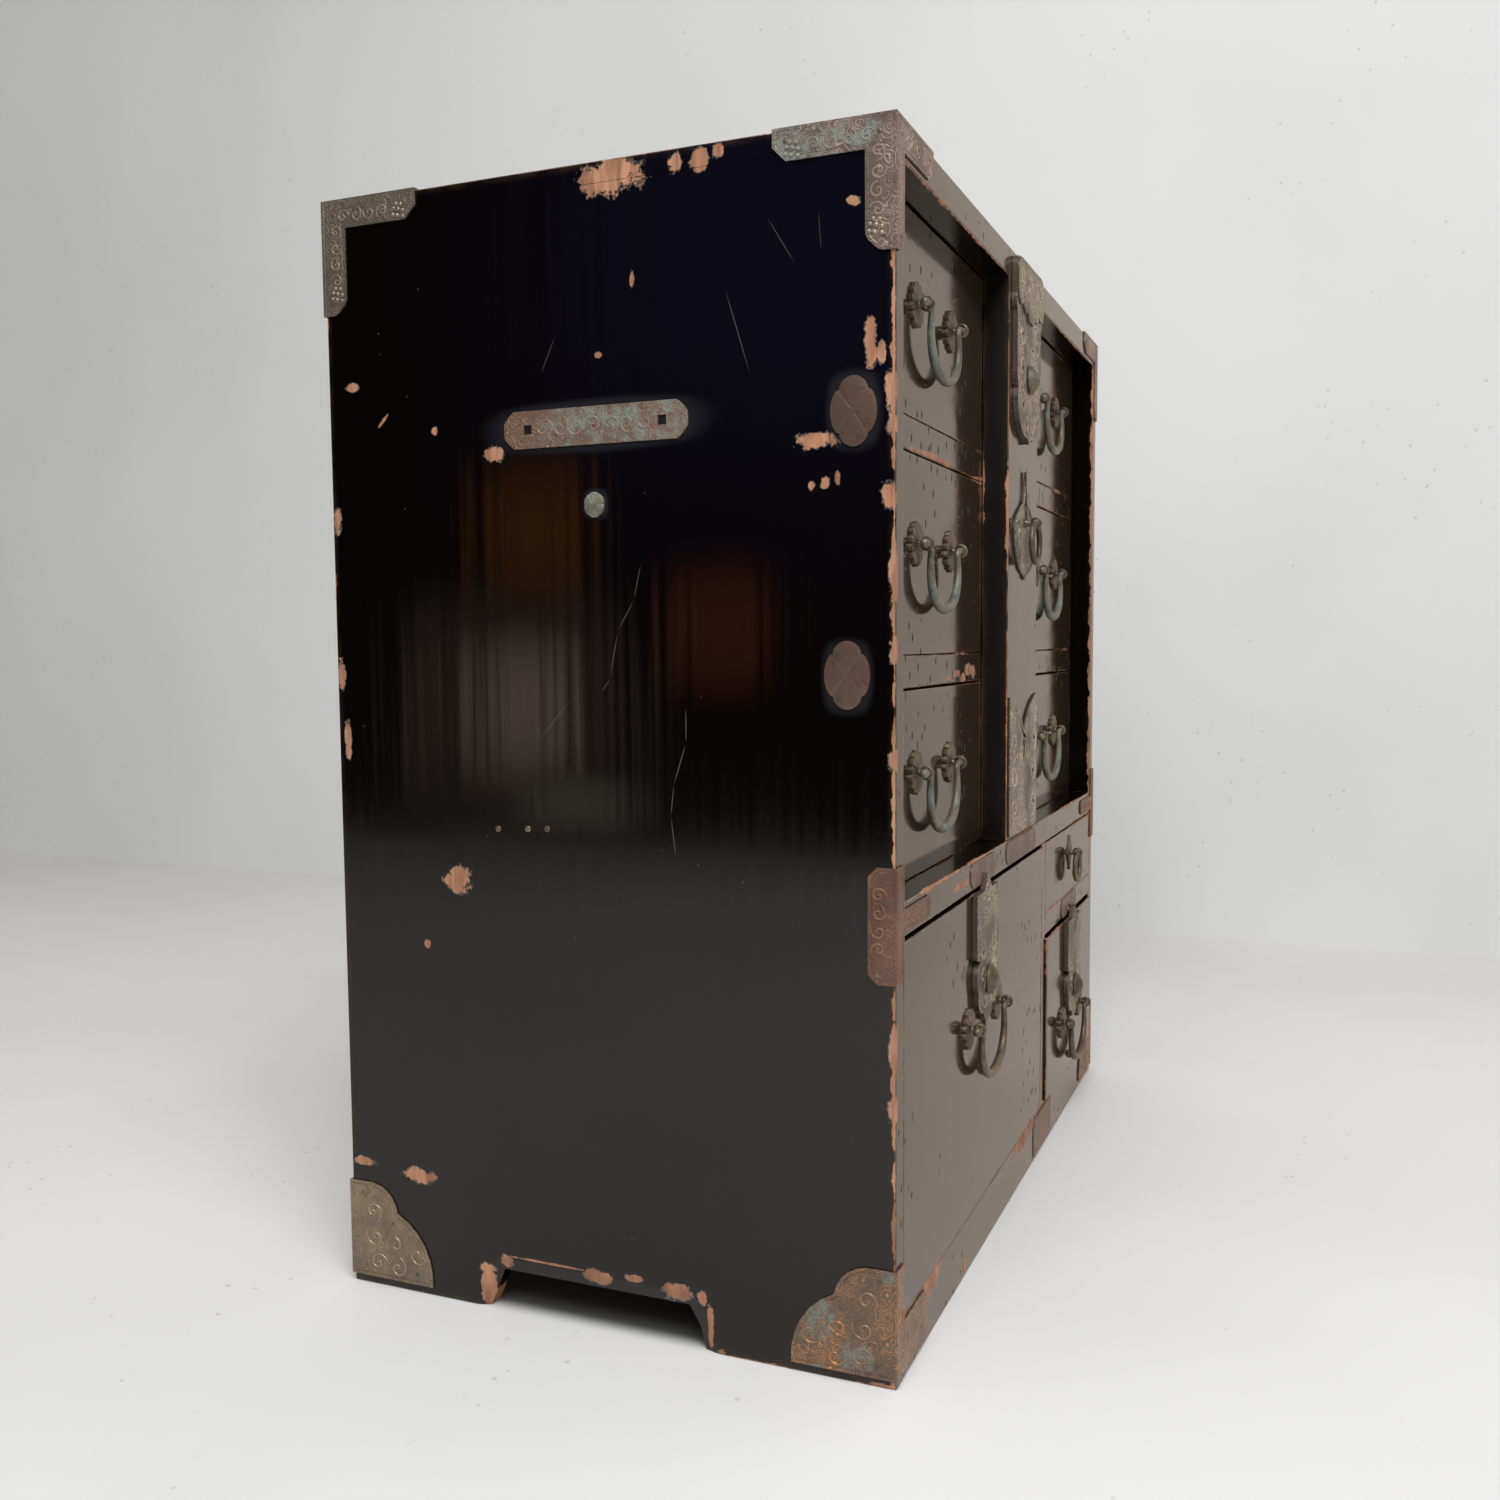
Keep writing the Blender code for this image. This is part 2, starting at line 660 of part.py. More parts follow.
def tray(drawer, home, front_low, front_high):
    """An open box behind the drawer front."""
    low = Vector((front_low[0], front_high[1] + SEAT, front_low[2]))
    high = Vector((front_high[0], PANEL_Y - TRAY_BACK_GAP, front_high[2] - TRAY_DROP))
    size = high - low
    shape = bmesh.new()
    bmesh.ops.create_cube(shape, size=1.0)
    bmesh.ops.scale(shape, vec=size, verts=shape.verts)
    lid = [face for face in shape.faces if face.normal.z > 0.5]
    bmesh.ops.delete(shape, geom=lid, context="FACES_ONLY")
    mesh = bpy.data.meshes.new(f"{drawer.name}_tray")
    shape.to_mesh(mesh)
    shape.free()
    part = add_part(f"{drawer.name}_tray", mesh, BARE_WOOD, home, (low + high) / 2)
    walls = part.modifiers.new("walls", "SOLIDIFY")
    walls.thickness = TRAY_WALL
    walls.offset = -1
    walls.use_even_offset = True


def add_rosette(front, name, rim, seat):
    """A flat back plate under a post, joined to the face that carries it."""
    x, face_y, z = seat
    mesh = plate_mesh(name, [rim], ROSETTE_T + SINK)
    fuse(front, helper(name, laid(mesh, ON_FRONT, (x, face_y + SINK, z))))


def add_striker(front, drawer):
    """A stud behind the belly of a bail, which keeps the bail off the lacquer."""
    mesh = plate_mesh(f"{drawer.name}_striker", [circle_outline(STRIKER_R, EYE_SIDES)], STRIKER_H + SINK)
    seat = (drawer.middle_x, drawer.face_y + SINK, drawer.pull_z - BAIL_DROP)
    fuse(front, helper(f"{drawer.name}_striker", laid(mesh, ON_FRONT, seat)))


def add_post(front, name, seat):
    """A post and an eye for a pull, joined to the face that carries them."""
    x, face_y, z = seat
    stem_end = EYE_REACH - (EYE_R + EYE_BORE) / 2
    stem = plate_mesh(f"{name}_stem", [circle_outline(POST_R, WIRE_SIDES)], stem_end + SINK)
    fuse(front, helper(f"{name}_stem", laid(stem, ON_FRONT, (x, face_y + SINK, z))))
    rims = [circle_outline(EYE_R, EYE_SIDES), circle_outline(EYE_BORE, EYE_SIDES)]
    eye = plate_mesh(f"{name}_eye", rims, EYE_W)
    fuse(front, helper(f"{name}_eye", laid(eye, ON_RIGHT, (x - EYE_W / 2, face_y - EYE_REACH, z))))


def bail_half():
    """(across, down, radius) from the knob at one end of a bail to the middle of its belly."""
    eye_x = POST_SPACING / 2
    knob_x = eye_x + EYE_W / 2 + EYE_BORE - BAIL_END_R
    bend_x = eye_x - EYE_W / 2 - BAIL_END_R
    path = [
        (knob_x + 2 * BAIL_KNOB_R, 0, BAIL_KNOB_R / 2),
        (knob_x + 1.6 * BAIL_KNOB_R, 0, BAIL_KNOB_R),
        (knob_x + 0.6 * BAIL_KNOB_R, 0, BAIL_KNOB_R),
        (knob_x, 0, BAIL_END_R),
    ]
    for step in range(4):
        turn = math.pi / 2 * step / 3
        path.append((bend_x - BAIL_BEND * math.sin(turn), BAIL_BEND * (1 - math.cos(turn)), BAIL_END_R))
    arm_x = bend_x - BAIL_BEND
    arm_steps = 8
    for step in range(1, arm_steps + 1):
        turn = math.pi / 2 * step / arm_steps
        across = arm_x * math.cos(turn) + BAIL_BULGE * math.sin(2 * turn)
        down = BAIL_BEND + (BAIL_DROP - BAIL_BEND) * math.sin(turn)
        path.append((across, down, BAIL_END_R + (BAIL_BELLY_R - BAIL_END_R) * math.sin(turn)))
    return path


def build_bail(name, home, axis_point):
    """A hanging bail whose ends pass through the eyes, with its origin on its axis."""
    half = bail_half()
    path = half + [(-across, down, radius) for across, down, radius in reversed(half[:-1])]
    curve = bpy.data.curves.new(name, "CURVE")
    curve.dimensions = "3D"
    curve.bevel_depth = 1.0
    curve.bevel_resolution = 2
    curve.use_fill_caps = True
    spline = curve.splines.new("POLY")
    spline.points.add(len(path) - 1)
    for knot, (across, down, radius) in zip(spline.points, path):
        knot.co = (across, 0, -down, 1)
        knot.radius = radius
    add_part(name, curve, BRONZE, home, axis_point)


def build_ring(name, home, axis_point, radius):
    """A ring hung in an eye, with its origin on the axis through its top."""
    bpy.ops.mesh.primitive_torus_add(
        major_segments=RING_SIDES, minor_segments=WIRE_SIDES, major_radius=radius, minor_radius=RING_WIRE_R
    )
    drawn = bpy.context.active_object
    mesh = drawn.data
    bpy.data.objects.remove(drawn)
    mesh.name = name
    mesh.transform(Matrix.Translation((0, 0, -radius)) @ Matrix.Rotation(math.pi / 2, 4, "X"))
    mesh.shade_smooth()
    add_part(name, mesh, BRONZE, home, axis_point)


def lock_outline():
    """A lock plate: a pointed tab, a square box, and a cloud-lobed lower half, from its top edge down."""
    half, tab = LOCK_W / 2, LOCK_TAB_W / 2
    waist = LOCK_BOX_H + LOCK_W / 24
    return mirrored_outline(
        [
            (0, LOCK_TAB_H, 0),
            (tab, 0, 0),
            (half, 0, 0),
            (half, -LOCK_BOX_H, 0),
            (half * 0.78, -waist, 0.24),
            (half * 0.9, -(waist + LOCK_H) / 2, 0.26),
            (half * 0.42, -LOCK_H * 0.92, 0.2),
            (0, -LOCK_H, 0),
        ]
    )


def build_drawer_lock(drawer, home):
    """A box lock on the drawer's face, with the knob that slides its bolt."""
    top_z = drawer.high_z - drawer.top_gap
    face_y = drawer.face_y - SEAT
    knob_z = top_z - LOCK_KNOB_DROP
    slot = slot_outline(KNOB_STEM_R + KNOB_FIT, KNOB_TRAVEL, (0, KNOB_TRAVEL / 2 - LOCK_KNOB_DROP))
    mesh = plate_mesh(f"{drawer.name}_lock_plate", [lock_outline(), slot], LOCK_T)
    add_part(f"{drawer.name}_lock_plate", laid(mesh, ON_FRONT), BRONZE, home, (drawer.middle_x, face_y, top_z))
    build_knob(f"{drawer.name}_knob", home, (drawer.middle_x, face_y - LOCK_T - KNOB_FIT, knob_z))


def build_knob(name, home, seat_point):
    """A domed knob on a stem, turned about its axis, which points forwards."""
    dome = []
    for step in range(5):
        turn = math.pi / 2 * step / 5
        dome.append((KNOB_R * math.sin(turn), KNOB_H * math.cos(turn)))
    rim = KNOB_H / 8
    stem = [(KNOB_STEM_R, 0), (KNOB_STEM_R, -KNOB_STEM_L), (0, -KNOB_STEM_L)]
    profile = dome + [(KNOB_R, rim), (KNOB_R - rim, 0)] + stem
    knob = add_turning(add_part(name, turned_mesh(name, profile), COPPER, home, seat_point))
    knob.rotation_euler = (math.pi / 2, 0, 0)


def build_bar():
    """The locking bar with its tongue, three plates, knob and ring. It tips forwards about its foot."""
    home = add_empty("locking_bar_foot", (0, FRONT_Y, SHELF_TOP_Z))
    half = BAR_W / 2
    bar = board("locking_bar", (-half, FRONT_Y, SHELF_TOP_Z + SEAT), (half, UPPER_Y - BAR_FIT, CASE_H), LACQUER, home)
    tongue_y = FRONT_Y + TONGUE_SET_BACK
    low = (-TONGUE_W / 2, tongue_y, SHELF_TOP_Z - TONGUE_L)
    fuse(bar, box_helper("bar_tongue", low, (TONGUE_W / 2, tongue_y + TONGUE_T, SHELF_TOP_Z + TONGUE_L)))
    build_bar_top_plate(home)
    build_bar_middle_plate(home)
    build_bar_bottom_plate(home)


def build_bar_top_plate(home):
    """A box lock: a hood with a lobed lower edge over a leaf that runs down to a point."""
    half, hood, length = BAR_TOP_PLATE_W / 2, BAR_TOP_HOOD_H, BAR_TOP_PLATE_L
    leaf = half * 0.94
    waist = leaf * 0.9
    rim = mirrored_outline(
        [
            (half, 0, 0),
            (half, -hood * 0.72, 0.22),
            (leaf, -hood, 0),
            (leaf, -BAR_TOP_KNOB_DROP, 0.1),
            (waist, -BAR_TOP_KNOB_DROP - KNOB_R, 0.2),
            (waist * 0.8, -length * 0.92, 0.12),
            (waist * 0.24, -length * 0.97, -0.08),
            (0, -length, 0),
        ]
    )
    slot = slot_outline(KNOB_STEM_R + KNOB_FIT, KNOB_TRAVEL, (0, KNOB_TRAVEL / 2 - BAR_TOP_KNOB_DROP))
    mesh = plate_mesh("bar_top_plate", [rim, slot], LOCK_T)
    face_y = FRONT_Y - SEAT
    add_part("bar_top_plate", laid(mesh, ON_FRONT), BRONZE, home, (0, face_y, CASE_H))
    build_knob("bar_knob", home, (0, face_y - LOCK_T - KNOB_FIT, CASE_H - BAR_TOP_KNOB_DROP))


def build_bar_middle_plate(home):
    """A flame-shaped plate that carries the bar's ring."""
    half, length = BAR_MIDDLE_PLATE_W / 2, BAR_MIDDLE_PLATE_L
    neck = BAR_MIDDLE_NECK_W / 2
    rim = mirrored_outline(
        [
            (0, 0, -0.06),
            (neck, -length * 0.28, 0),
            (half * 0.8, -length * 0.42, 0.14),
            (half, -length * 0.6, 0.16),
            (half * 0.3, -length * 0.94, -0.06),
            (0, -length, 0),
        ]
    )
    top_z = CASE_H - BAR_MIDDLE_PLATE_TOP_DROP
    mesh = plate_mesh("bar_middle_plate", [rim], BAR_PLATE_T)
    plate = add_part("bar_middle_plate", laid(mesh, ON_FRONT), BRONZE, home, (0, FRONT_Y - SEAT, top_z))
    face_y = FRONT_Y - SEAT - BAR_PLATE_T
    eye_z = top_z - BAR_MIDDLE_EYE_DROP
    add_post(plate, "bar_ring_post", (0, face_y, eye_z))
    build_ring("bar_ring", home, (0, face_y - EYE_REACH, eye_z), BAR_RING_R)


def build_bar_bottom_plate(home):
    """A plate over the foot of the bar, with two points at its top and a keyhole."""
    half, height = BAR_W / 2 - BAR_PLATE_MARGIN, BAR_BOTTOM_PLATE_H
    rim = mirrored_outline(
        [
            (0, height - BAR_BOTTOM_PLATE_NOTCH, 0.1),
            (half, height, 0),
            (half, 0, 0),
        ]
    )
    keyhole = slot_outline(KEYHOLE_R, KEYHOLE_L, (0, KEYHOLE_RISE))
    mesh = plate_mesh("bar_bottom_plate", [rim, keyhole], BAR_PLATE_T)
    location = (0, FRONT_Y - SEAT, SHELF_TOP_Z + BAR_PLATE_MARGIN)
    add_part("bar_bottom_plate", laid(mesh, ON_FRONT), BRONZE, home, location)


def leg_outline(upright):
    """An L whose legs run from a corner along two edges, over both by the sheet's fold."""
    length, width, chamfer, out = TOP_LEG_L, TOP_LEG_W, TOP_LEG_CHAMFER, FOLD_OUT
    return [
        Vector(point)
        for point in (
            (-out, -out), (length, -out), (length, width - chamfer), (length - chamfer, width),
            (upright, width), (upright, length - chamfer), (upright - chamfer, length), (-out, length),
        )
    ]


# Axes of a fitting at a corner: X and Y run inwards along the case, Z downwards
FACE_ACROSS_Y = Matrix(((0, 0, -1), (1, 0, 0), (0, 1, 0)))
FACE_ACROSS_X = Matrix(((1, 0, 0), (0, 0, -1), (0, 1, 0)))
FACE_TOP = Matrix(((1, 0, 0), (0, 1, 0), (0, 0, -1)))


def folded_mesh(name, faces):
    """Sheet folded over an edge or a corner: one outline for each face, joined where they meet."""
    parts = []
    for index, (rim, turn, offset) in enumerate(faces):
        mesh = laid(plate_mesh(f"{name}_{index}", [rim], SHEET_T), turn, offset)
        outwards = bmesh.new()
        outwards.from_mesh(mesh)
        bmesh.ops.recalc_face_normals(outwards, faces=outwards.faces)
        outwards.to_mesh(mesh)
        outwards.free()
        parts.append(helper(f"{name}_{index}", mesh))
    for other in parts[1:]:
        fuse(parts[0], other)
    graph = bpy.context.evaluated_depsgraph_get()
    joined = bpy.data.meshes.new_from_object(parts[0].evaluated_get(graph))
    joined.name = name
    for part in parts:
        bpy.data.objects.remove(part)
    return joined


def placed_mesh(mesh, name, across, behind, down):
    """A copy of a corner's mesh with its axes turned to another corner of the case."""
    shape = bmesh.new()
    shape.from_mesh(mesh)
    bmesh.ops.scale(shape, vec=(across, behind, down), verts=shape.verts)
    if across * behind * down < 0:
        bmesh.ops.reverse_faces(shape, faces=shape.faces)
    copy = bpy.data.meshes.new(name)
    shape.to_mesh(copy)
    shape.free()
    return copy


CORNERS = (("front_left", -1, -1), ("front_right", 1, -1), ("back_left", -1, 1), ("back_right", 1, 1))


def build_top_corners():
    """Three-faced fittings over the top corners."""
    legs, stile_legs = leg_outline(TOP_LEG_W), leg_outline(SIDE_T - OPENING_MARGIN)
    off = -SEAT
    faces = [
        (legs, FACE_ACROSS_Y, (off, 0, 0)),
        (stile_legs, FACE_ACROSS_X, (0, off, 0)),
        (legs, FACE_TOP, (0, 0, off)),
    ]
    mesh = folded_mesh("top_corner", faces)
    for corner, hand, depth in CORNERS:
        name = f"top_corner_{corner}"
        y = FRONT_Y if depth < 0 else BACK_Y
        add_part(name, placed_mesh(mesh, name, -hand, -depth, -1), COPPER, None, (hand * HALF_W, y, CASE_H))


def foot_outline():
    """A quarter plate of two round lobes, from its vertical edge, up from the floor."""
    low = FOOT_PLATE_FLOOR_GAP
    return outline(
        [
            (-FOLD_OUT, low, 0),
            (FOOT_PLATE_L, low, -0.16),
            (FOOT_PLATE_CUSP_L, FOOT_PLATE_CUSP_H, -0.2),
            (FOOT_PLATE_FLAT, FOOT_PLATE_H, 0),
            (-FOLD_OUT, FOOT_PLATE_H, 0),
        ]
    )


def build_foot_corners():
    """Lobed plates over the bottom corners. In front they are cut round the opening, behind they fold over."""
    off = -SEAT
    lobes = foot_outline()
    low, high = FOOT_PLATE_FLOOR_GAP, FOOT_PLATE_H
    fold = [(-FOLD_OUT, low), (FOOT_PLATE_FOLD, low), (FOOT_PLATE_FOLD, high), (-FOLD_OUT, high)]
    on_side = (lobes, FACE_ACROSS_Y, (off, 0, 0))
    front = folded_mesh("foot_corner_front", [on_side, (lobes, FACE_ACROSS_X, (0, off, 0))])
    back = folded_mesh("foot_corner_back", [on_side, (fold, FACE_ACROSS_X, (0, off, 0))])
    for corner, hand, depth in CORNERS:
        name = f"foot_corner_{corner}"
        y, mesh = (FRONT_Y, front) if depth < 0 else (BACK_Y, back)
        plate = add_part(name, placed_mesh(mesh, name, -hand, -depth, 1), COPPER, None, (hand * HALF_W, y, 0))
        if depth < 0:
            ends = sorted((hand * (INNER_X + OPENING_MARGIN), 0))
            low = (ends[0], FRONT_Y - SIDE_T, BASE_RAIL_H - OPENING_MARGIN)
            high = (ends[1], FRONT_Y - SEAT / 2, CASE_H)
            cut(plate, box_helper(f"{name}_opening", low, high))


def build_edge_plates():
    """Plates folded over the front edges at the middle shelf, with a leg along the shelf."""
    chamfer, out = EDGE_PLATE_CHAMFER, FOLD_OUT
    low, high = -EDGE_PLATE_DOWN - SHELF_T, EDGE_PLATE_UP
    strip = [
        (-out, low),
        (EDGE_PLATE_W - chamfer, low),
        (EDGE_PLATE_W, low + chamfer),
        (EDGE_PLATE_W, high - chamfer),
        (EDGE_PLATE_W - chamfer, high),
        (-out, high),
    ]
    stile = SIDE_T - OPENING_MARGIN
    leg_low, leg_high, leg_chamfer = EDGE_LEG_INSET - SHELF_T, -EDGE_LEG_INSET, EDGE_LEG_INSET
    tee = [
        (-out, low),
        (stile, low),
        (stile, leg_low),
        (EDGE_LEG_L - leg_chamfer, leg_low),
        (EDGE_LEG_L, leg_low + leg_chamfer),
        (EDGE_LEG_L, leg_high - leg_chamfer),
        (EDGE_LEG_L - leg_chamfer, leg_high),
        (stile, leg_high),
        (stile, high),
        (-out, high),
    ]
    mesh = folded_mesh("edge_plate", [(strip, FACE_ACROSS_Y, (-SEAT, 0, 0)), (tee, FACE_ACROSS_X, (0, -SEAT, 0))])
    for side, hand in (("left", -1), ("right", 1)):
        name = f"edge_plate_{side}"
        add_part(name, placed_mesh(mesh, name, -hand, 1, 1), COPPER, None, (hand * HALF_W, FRONT_Y, SHELF_TOP_Z))


for old in list(bpy.data.objects):
    bpy.data.objects.remove(old)
PARTS = fresh_collection("tansu_chest")
HELPERS = fresh_collection("cutters")

build_sides()
build_case_boards()
build_upper_frame()
build_small_shelf()
for each in drawer_list():
    build_drawer(each)
build_bar()
build_top_corners()
build_foot_corners()
build_edge_plates()
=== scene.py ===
"""Looks of the tansu chest: lacquered boards with worn edges, patinated fittings, light and camera.

Sizes are in metres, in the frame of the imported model: +Z up, the front faces -Y.
"""

import json
import logging
import math
from collections.abc import Iterable, Sequence
from dataclasses import dataclass, replace
from enum import Enum
from typing import Union

import bmesh
import bpy
from mathutils import Matrix, Vector


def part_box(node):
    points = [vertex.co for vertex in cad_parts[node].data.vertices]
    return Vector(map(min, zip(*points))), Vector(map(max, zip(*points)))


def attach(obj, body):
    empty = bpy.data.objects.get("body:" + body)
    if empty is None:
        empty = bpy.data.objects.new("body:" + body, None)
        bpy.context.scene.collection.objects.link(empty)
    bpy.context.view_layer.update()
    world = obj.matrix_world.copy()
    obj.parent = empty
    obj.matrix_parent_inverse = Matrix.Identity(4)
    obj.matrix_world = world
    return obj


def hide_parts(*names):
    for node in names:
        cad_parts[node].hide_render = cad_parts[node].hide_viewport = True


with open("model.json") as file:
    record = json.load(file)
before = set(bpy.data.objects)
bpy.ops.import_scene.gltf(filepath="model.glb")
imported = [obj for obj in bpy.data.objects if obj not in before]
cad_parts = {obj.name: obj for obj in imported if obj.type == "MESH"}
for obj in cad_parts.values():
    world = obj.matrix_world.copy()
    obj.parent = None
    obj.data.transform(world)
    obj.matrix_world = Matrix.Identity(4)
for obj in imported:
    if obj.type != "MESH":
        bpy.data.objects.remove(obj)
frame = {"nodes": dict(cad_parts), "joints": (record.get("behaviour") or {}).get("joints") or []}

LOG = logging.getLogger("tansu_chest")
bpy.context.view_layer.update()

Socket = bpy.types.NodeSocket
Tree = bpy.types.NodeTree
Node = bpy.types.Node
Material = bpy.types.Material
Shape = bmesh.types.BMesh
Value = Union[Socket, float, tuple]
Colour = tuple[float, float, float, float]
Outline = list[Vector]
Profile = Sequence[tuple[float, float]]
Spots = Sequence[tuple[float, float]]
Path = Sequence[tuple[float, float, float, float]]

SIDE_LOW, SIDE_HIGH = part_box("side_left")
RAIL_LOW, RAIL_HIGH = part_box("bottom_rail")
FRONT_Y = RAIL_LOW.y
BACK_Y = SIDE_HIGH.y
CLEARANCE = 0.0003
INNER_X = RAIL_HIGH.x + CLEARANCE
HALF_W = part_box("top_board")[1].x
CASE_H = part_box("top_board")[1].z


class Side(Enum):
    """The two sides of the chest, by the sign of X."""

    LEFT = -1
    RIGHT = 1


class Facing(Enum):
    """Which outer face of the case a mark is on."""

    SIDE = "side"
    FRONT = "front"


class Engraving(Enum):
    """What is chased into a metal fitting."""

    PLAIN = 0.0
    FAINT = 0.45
    SCROLLS = 1.0


@dataclass(frozen=True)
class LacquerTones:
    """Colours of the black lacquer, and of what shows where it is dull, marked or worn off."""

    deep: Colour = (0.0014, 0.0005, 0.0005, 1.0)
    deep_cloud: Colour = (0.0026, 0.0014, 0.0016, 1.0)
    dull: Colour = (0.028, 0.0185, 0.0110, 1.0)
    dull_cloud: Colour = (0.039, 0.0270, 0.0165, 1.0)
    dull_streak: Colour = (0.020, 0.0135, 0.0085, 1.0)
    pit: Colour = (0.010, 0.008, 0.007, 1.0)
    nick: Colour = (0.006, 0.005, 0.004, 1.0)
    speck: Colour = (0.16, 0.145, 0.125, 1.0)
    fleck: Colour = (0.24, 0.14, 0.09, 1.0)
    rubbed: Colour = (0.060, 0.034, 0.021, 1.0)
    arris: Colour = (0.30, 0.165, 0.085, 1.0)
    ground: Colour = (0.115, 0.088, 0.070, 1.0)
    scratch: Colour = (0.13, 0.12, 0.105, 1.0)
    bare_pale: Colour = (0.50, 0.25, 0.145, 1.0)
    bare_dark: Colour = (0.25, 0.108, 0.058, 1.0)
    shine: Colour = (1.0, 0.93, 0.86, 1.0)


@dataclass(frozen=True)
class PatinaTones:
    """Colours of what has settled on the old metal."""

    grime: Colour = (0.028, 0.021, 0.016, 1.0)
    green: Colour = (0.088, 0.118, 0.098, 1.0)
    pale_green: Colour = (0.205, 0.250, 0.212, 1.0)


LACQUER_TONES = LacquerTones()
PATINA_TONES = PatinaTones()
LACQUER_BUMP = 0.00035
WOOD_BUMP = 0.0003
METAL_BUMP = 0.0005
BARE_ROUGH = 0.72
WOOD_ROUGH = 0.68
PAINT_ROUGH = 0.6


class Graph:
    """Adds nodes to one tree and wires them by socket or by value."""

    def __init__(self, tree: Tree) -> None:
        """Takes the tree to add to."""
        self.tree = tree

    def add(self, kind: str, **settings: object) -> Node:
        """Adds one node.

        Args:
            kind: the node's type name.
            settings: properties to set on it.

        Returns:
            The node.
        """
        node = self.tree.nodes.new(kind)
        for name, value in settings.items():
            setattr(node, name, value)
        return node

    def put(self, socket: Socket, value: Value) -> None:
        """Links a socket into an input, or sets the input's value.

        Args:
            socket: the input.
            value: what goes in.
        """
        if isinstance(value, bpy.types.NodeSocket):
            self.tree.links.new(value, socket)
        else:
            socket.default_value = value

    def math(self, operation: str, first: Value, second: Value = 0.0, third: Value = 0.0) -> Socket:
        """Adds a Math node.

        Args:
            operation: what it works out.
            first: the first number.
            second: the second number.
            third: the third number.

        Returns:
            The result.
        """
        node = self.add("ShaderNodeMath", operation=operation)
        for socket, value in zip(node.inputs, (first, second, third)):
            self.put(socket, value)
        return node.outputs[0]

    def vector(self, operation: str, first: Value, second: Value = (0.0, 0.0, 0.0)) -> Socket:
        """Adds a Vector Math node.

        Args:
            operation: what it works out.
            first: the first vector.
            second: the second vector.

        Returns:
            The result, a number for LENGTH.
        """
        node = self.add("ShaderNodeVectorMath", operation=operation)
        self.put(node.inputs[0], first)
        self.put(node.inputs[1], second)
        return node.outputs["Value" if operation == "LENGTH" else "Vector"]

    def split(self, vector: Value) -> tuple[Socket, Socket, Socket]:
        """Takes a vector apart.

        Args:
            vector: the vector.

        Returns:
            Its X, Y and Z.
        """
        node = self.add("ShaderNodeSeparateXYZ")
        self.put(node.inputs[0], vector)
        return node.outputs["X"], node.outputs["Y"], node.outputs["Z"]

    def mix(self, factor: Value, first: Value, second: Value) -> Socket:
        """Blends two colours.

        Args:
            factor: 0 for the first colour, 1 for the second.
            first: the first colour.
            second: the second colour.

        Returns:
            The blended colour.
        """
        node = self.add("ShaderNodeMix", data_type="RGBA")
        for index, value in ((0, factor), (6, first), (7, second)):
            self.put(node.inputs[index], value)
        return node.outputs[2]

    def blend(self, factor: Value, first: Value, second: Value) -> Socket:
        """Blends two numbers.

        Args:
            factor: 0 for the first number, 1 for the second.
            first: the first number.
            second: the second number.

        Returns:
            The blended number.
        """
        node = self.add("ShaderNodeMix", data_type="FLOAT")
        for index, value in ((0, factor), (2, first), (3, second)):
            self.put(node.inputs[index], value)
        return node.outputs[0]

    def rise(self, value: Value, low: Value, high: Value) -> Socket:
        """Adds a smooth step.

        Args:
            value: the number to step.
            low: where the step is 0.
            high: where the step is 1.

        Returns:
            The step.
        """
        node = self.add("ShaderNodeMapRange", interpolation_type="SMOOTHSTEP")
        self.put(node.inputs["Value"], value)
        self.put(node.inputs["From Min"], low)
        self.put(node.inputs["From Max"], high)
        return node.outputs["Result"]

    def fall(self, value: Value, low: Value, high: Value) -> Socket:
        """A smooth step from 1 at low to 0 at high."""
        return self.math("SUBTRACT", 1.0, self.rise(value, low, high))

    def times(self, first: Value, second: Value) -> Socket:
        """The product of two numbers."""
        return self.math("MULTIPLY", first, second)

    def scaled(self, value: Value, factor: Value, base: Value) -> Socket:
        """A number times a factor, added to a base."""
        return self.math("MULTIPLY_ADD", value, factor, base)

    def place(self) -> Socket:
        """The place on the piece, in metres."""
        return self.add("ShaderNodeTexCoord").outputs["Object"]

    def noise(self, place: Value, scale: float, detail: float = 3.0, distortion: float = 0.0) -> Socket:
        """Adds cloudy noise.

        Args:
            place: where it is looked up.
            scale: its waves in a metre.
            detail: how many finer waves are added.
            distortion: how far it is stirred.

        Returns:
            A number from 0 to 1.
        """
        node = self.add("ShaderNodeTexNoise")
        self.put(node.inputs["Vector"], place)
        node.inputs["Scale"].default_value = scale
        node.inputs["Detail"].default_value = detail
        node.inputs["Distortion"].default_value = distortion
        return node.outputs["Fac"]

    def cells(self, place: Value, scale: float) -> Socket:
        """Adds a field of scattered cells.

        Args:
            place: where it is looked up.
            scale: its cells in a metre.

        Returns:
            The distance to the nearest cell's middle.
        """
        node = self.add("ShaderNodeTexVoronoi")
        self.put(node.inputs["Vector"], place)
        node.inputs["Scale"].default_value = scale
        return node.outputs["Distance"]

    def group(self, tree: Tree, **values: Value) -> Node:
        """Places a shared effect.

        Args:
            tree: the effect.
            values: its inputs, named in lower case.

        Returns:
            The node.
        """
        node = self.add("ShaderNodeGroup", node_tree=tree)
        for name, value in values.items():
            self.put(node.inputs[name.capitalize()], value)
        return node


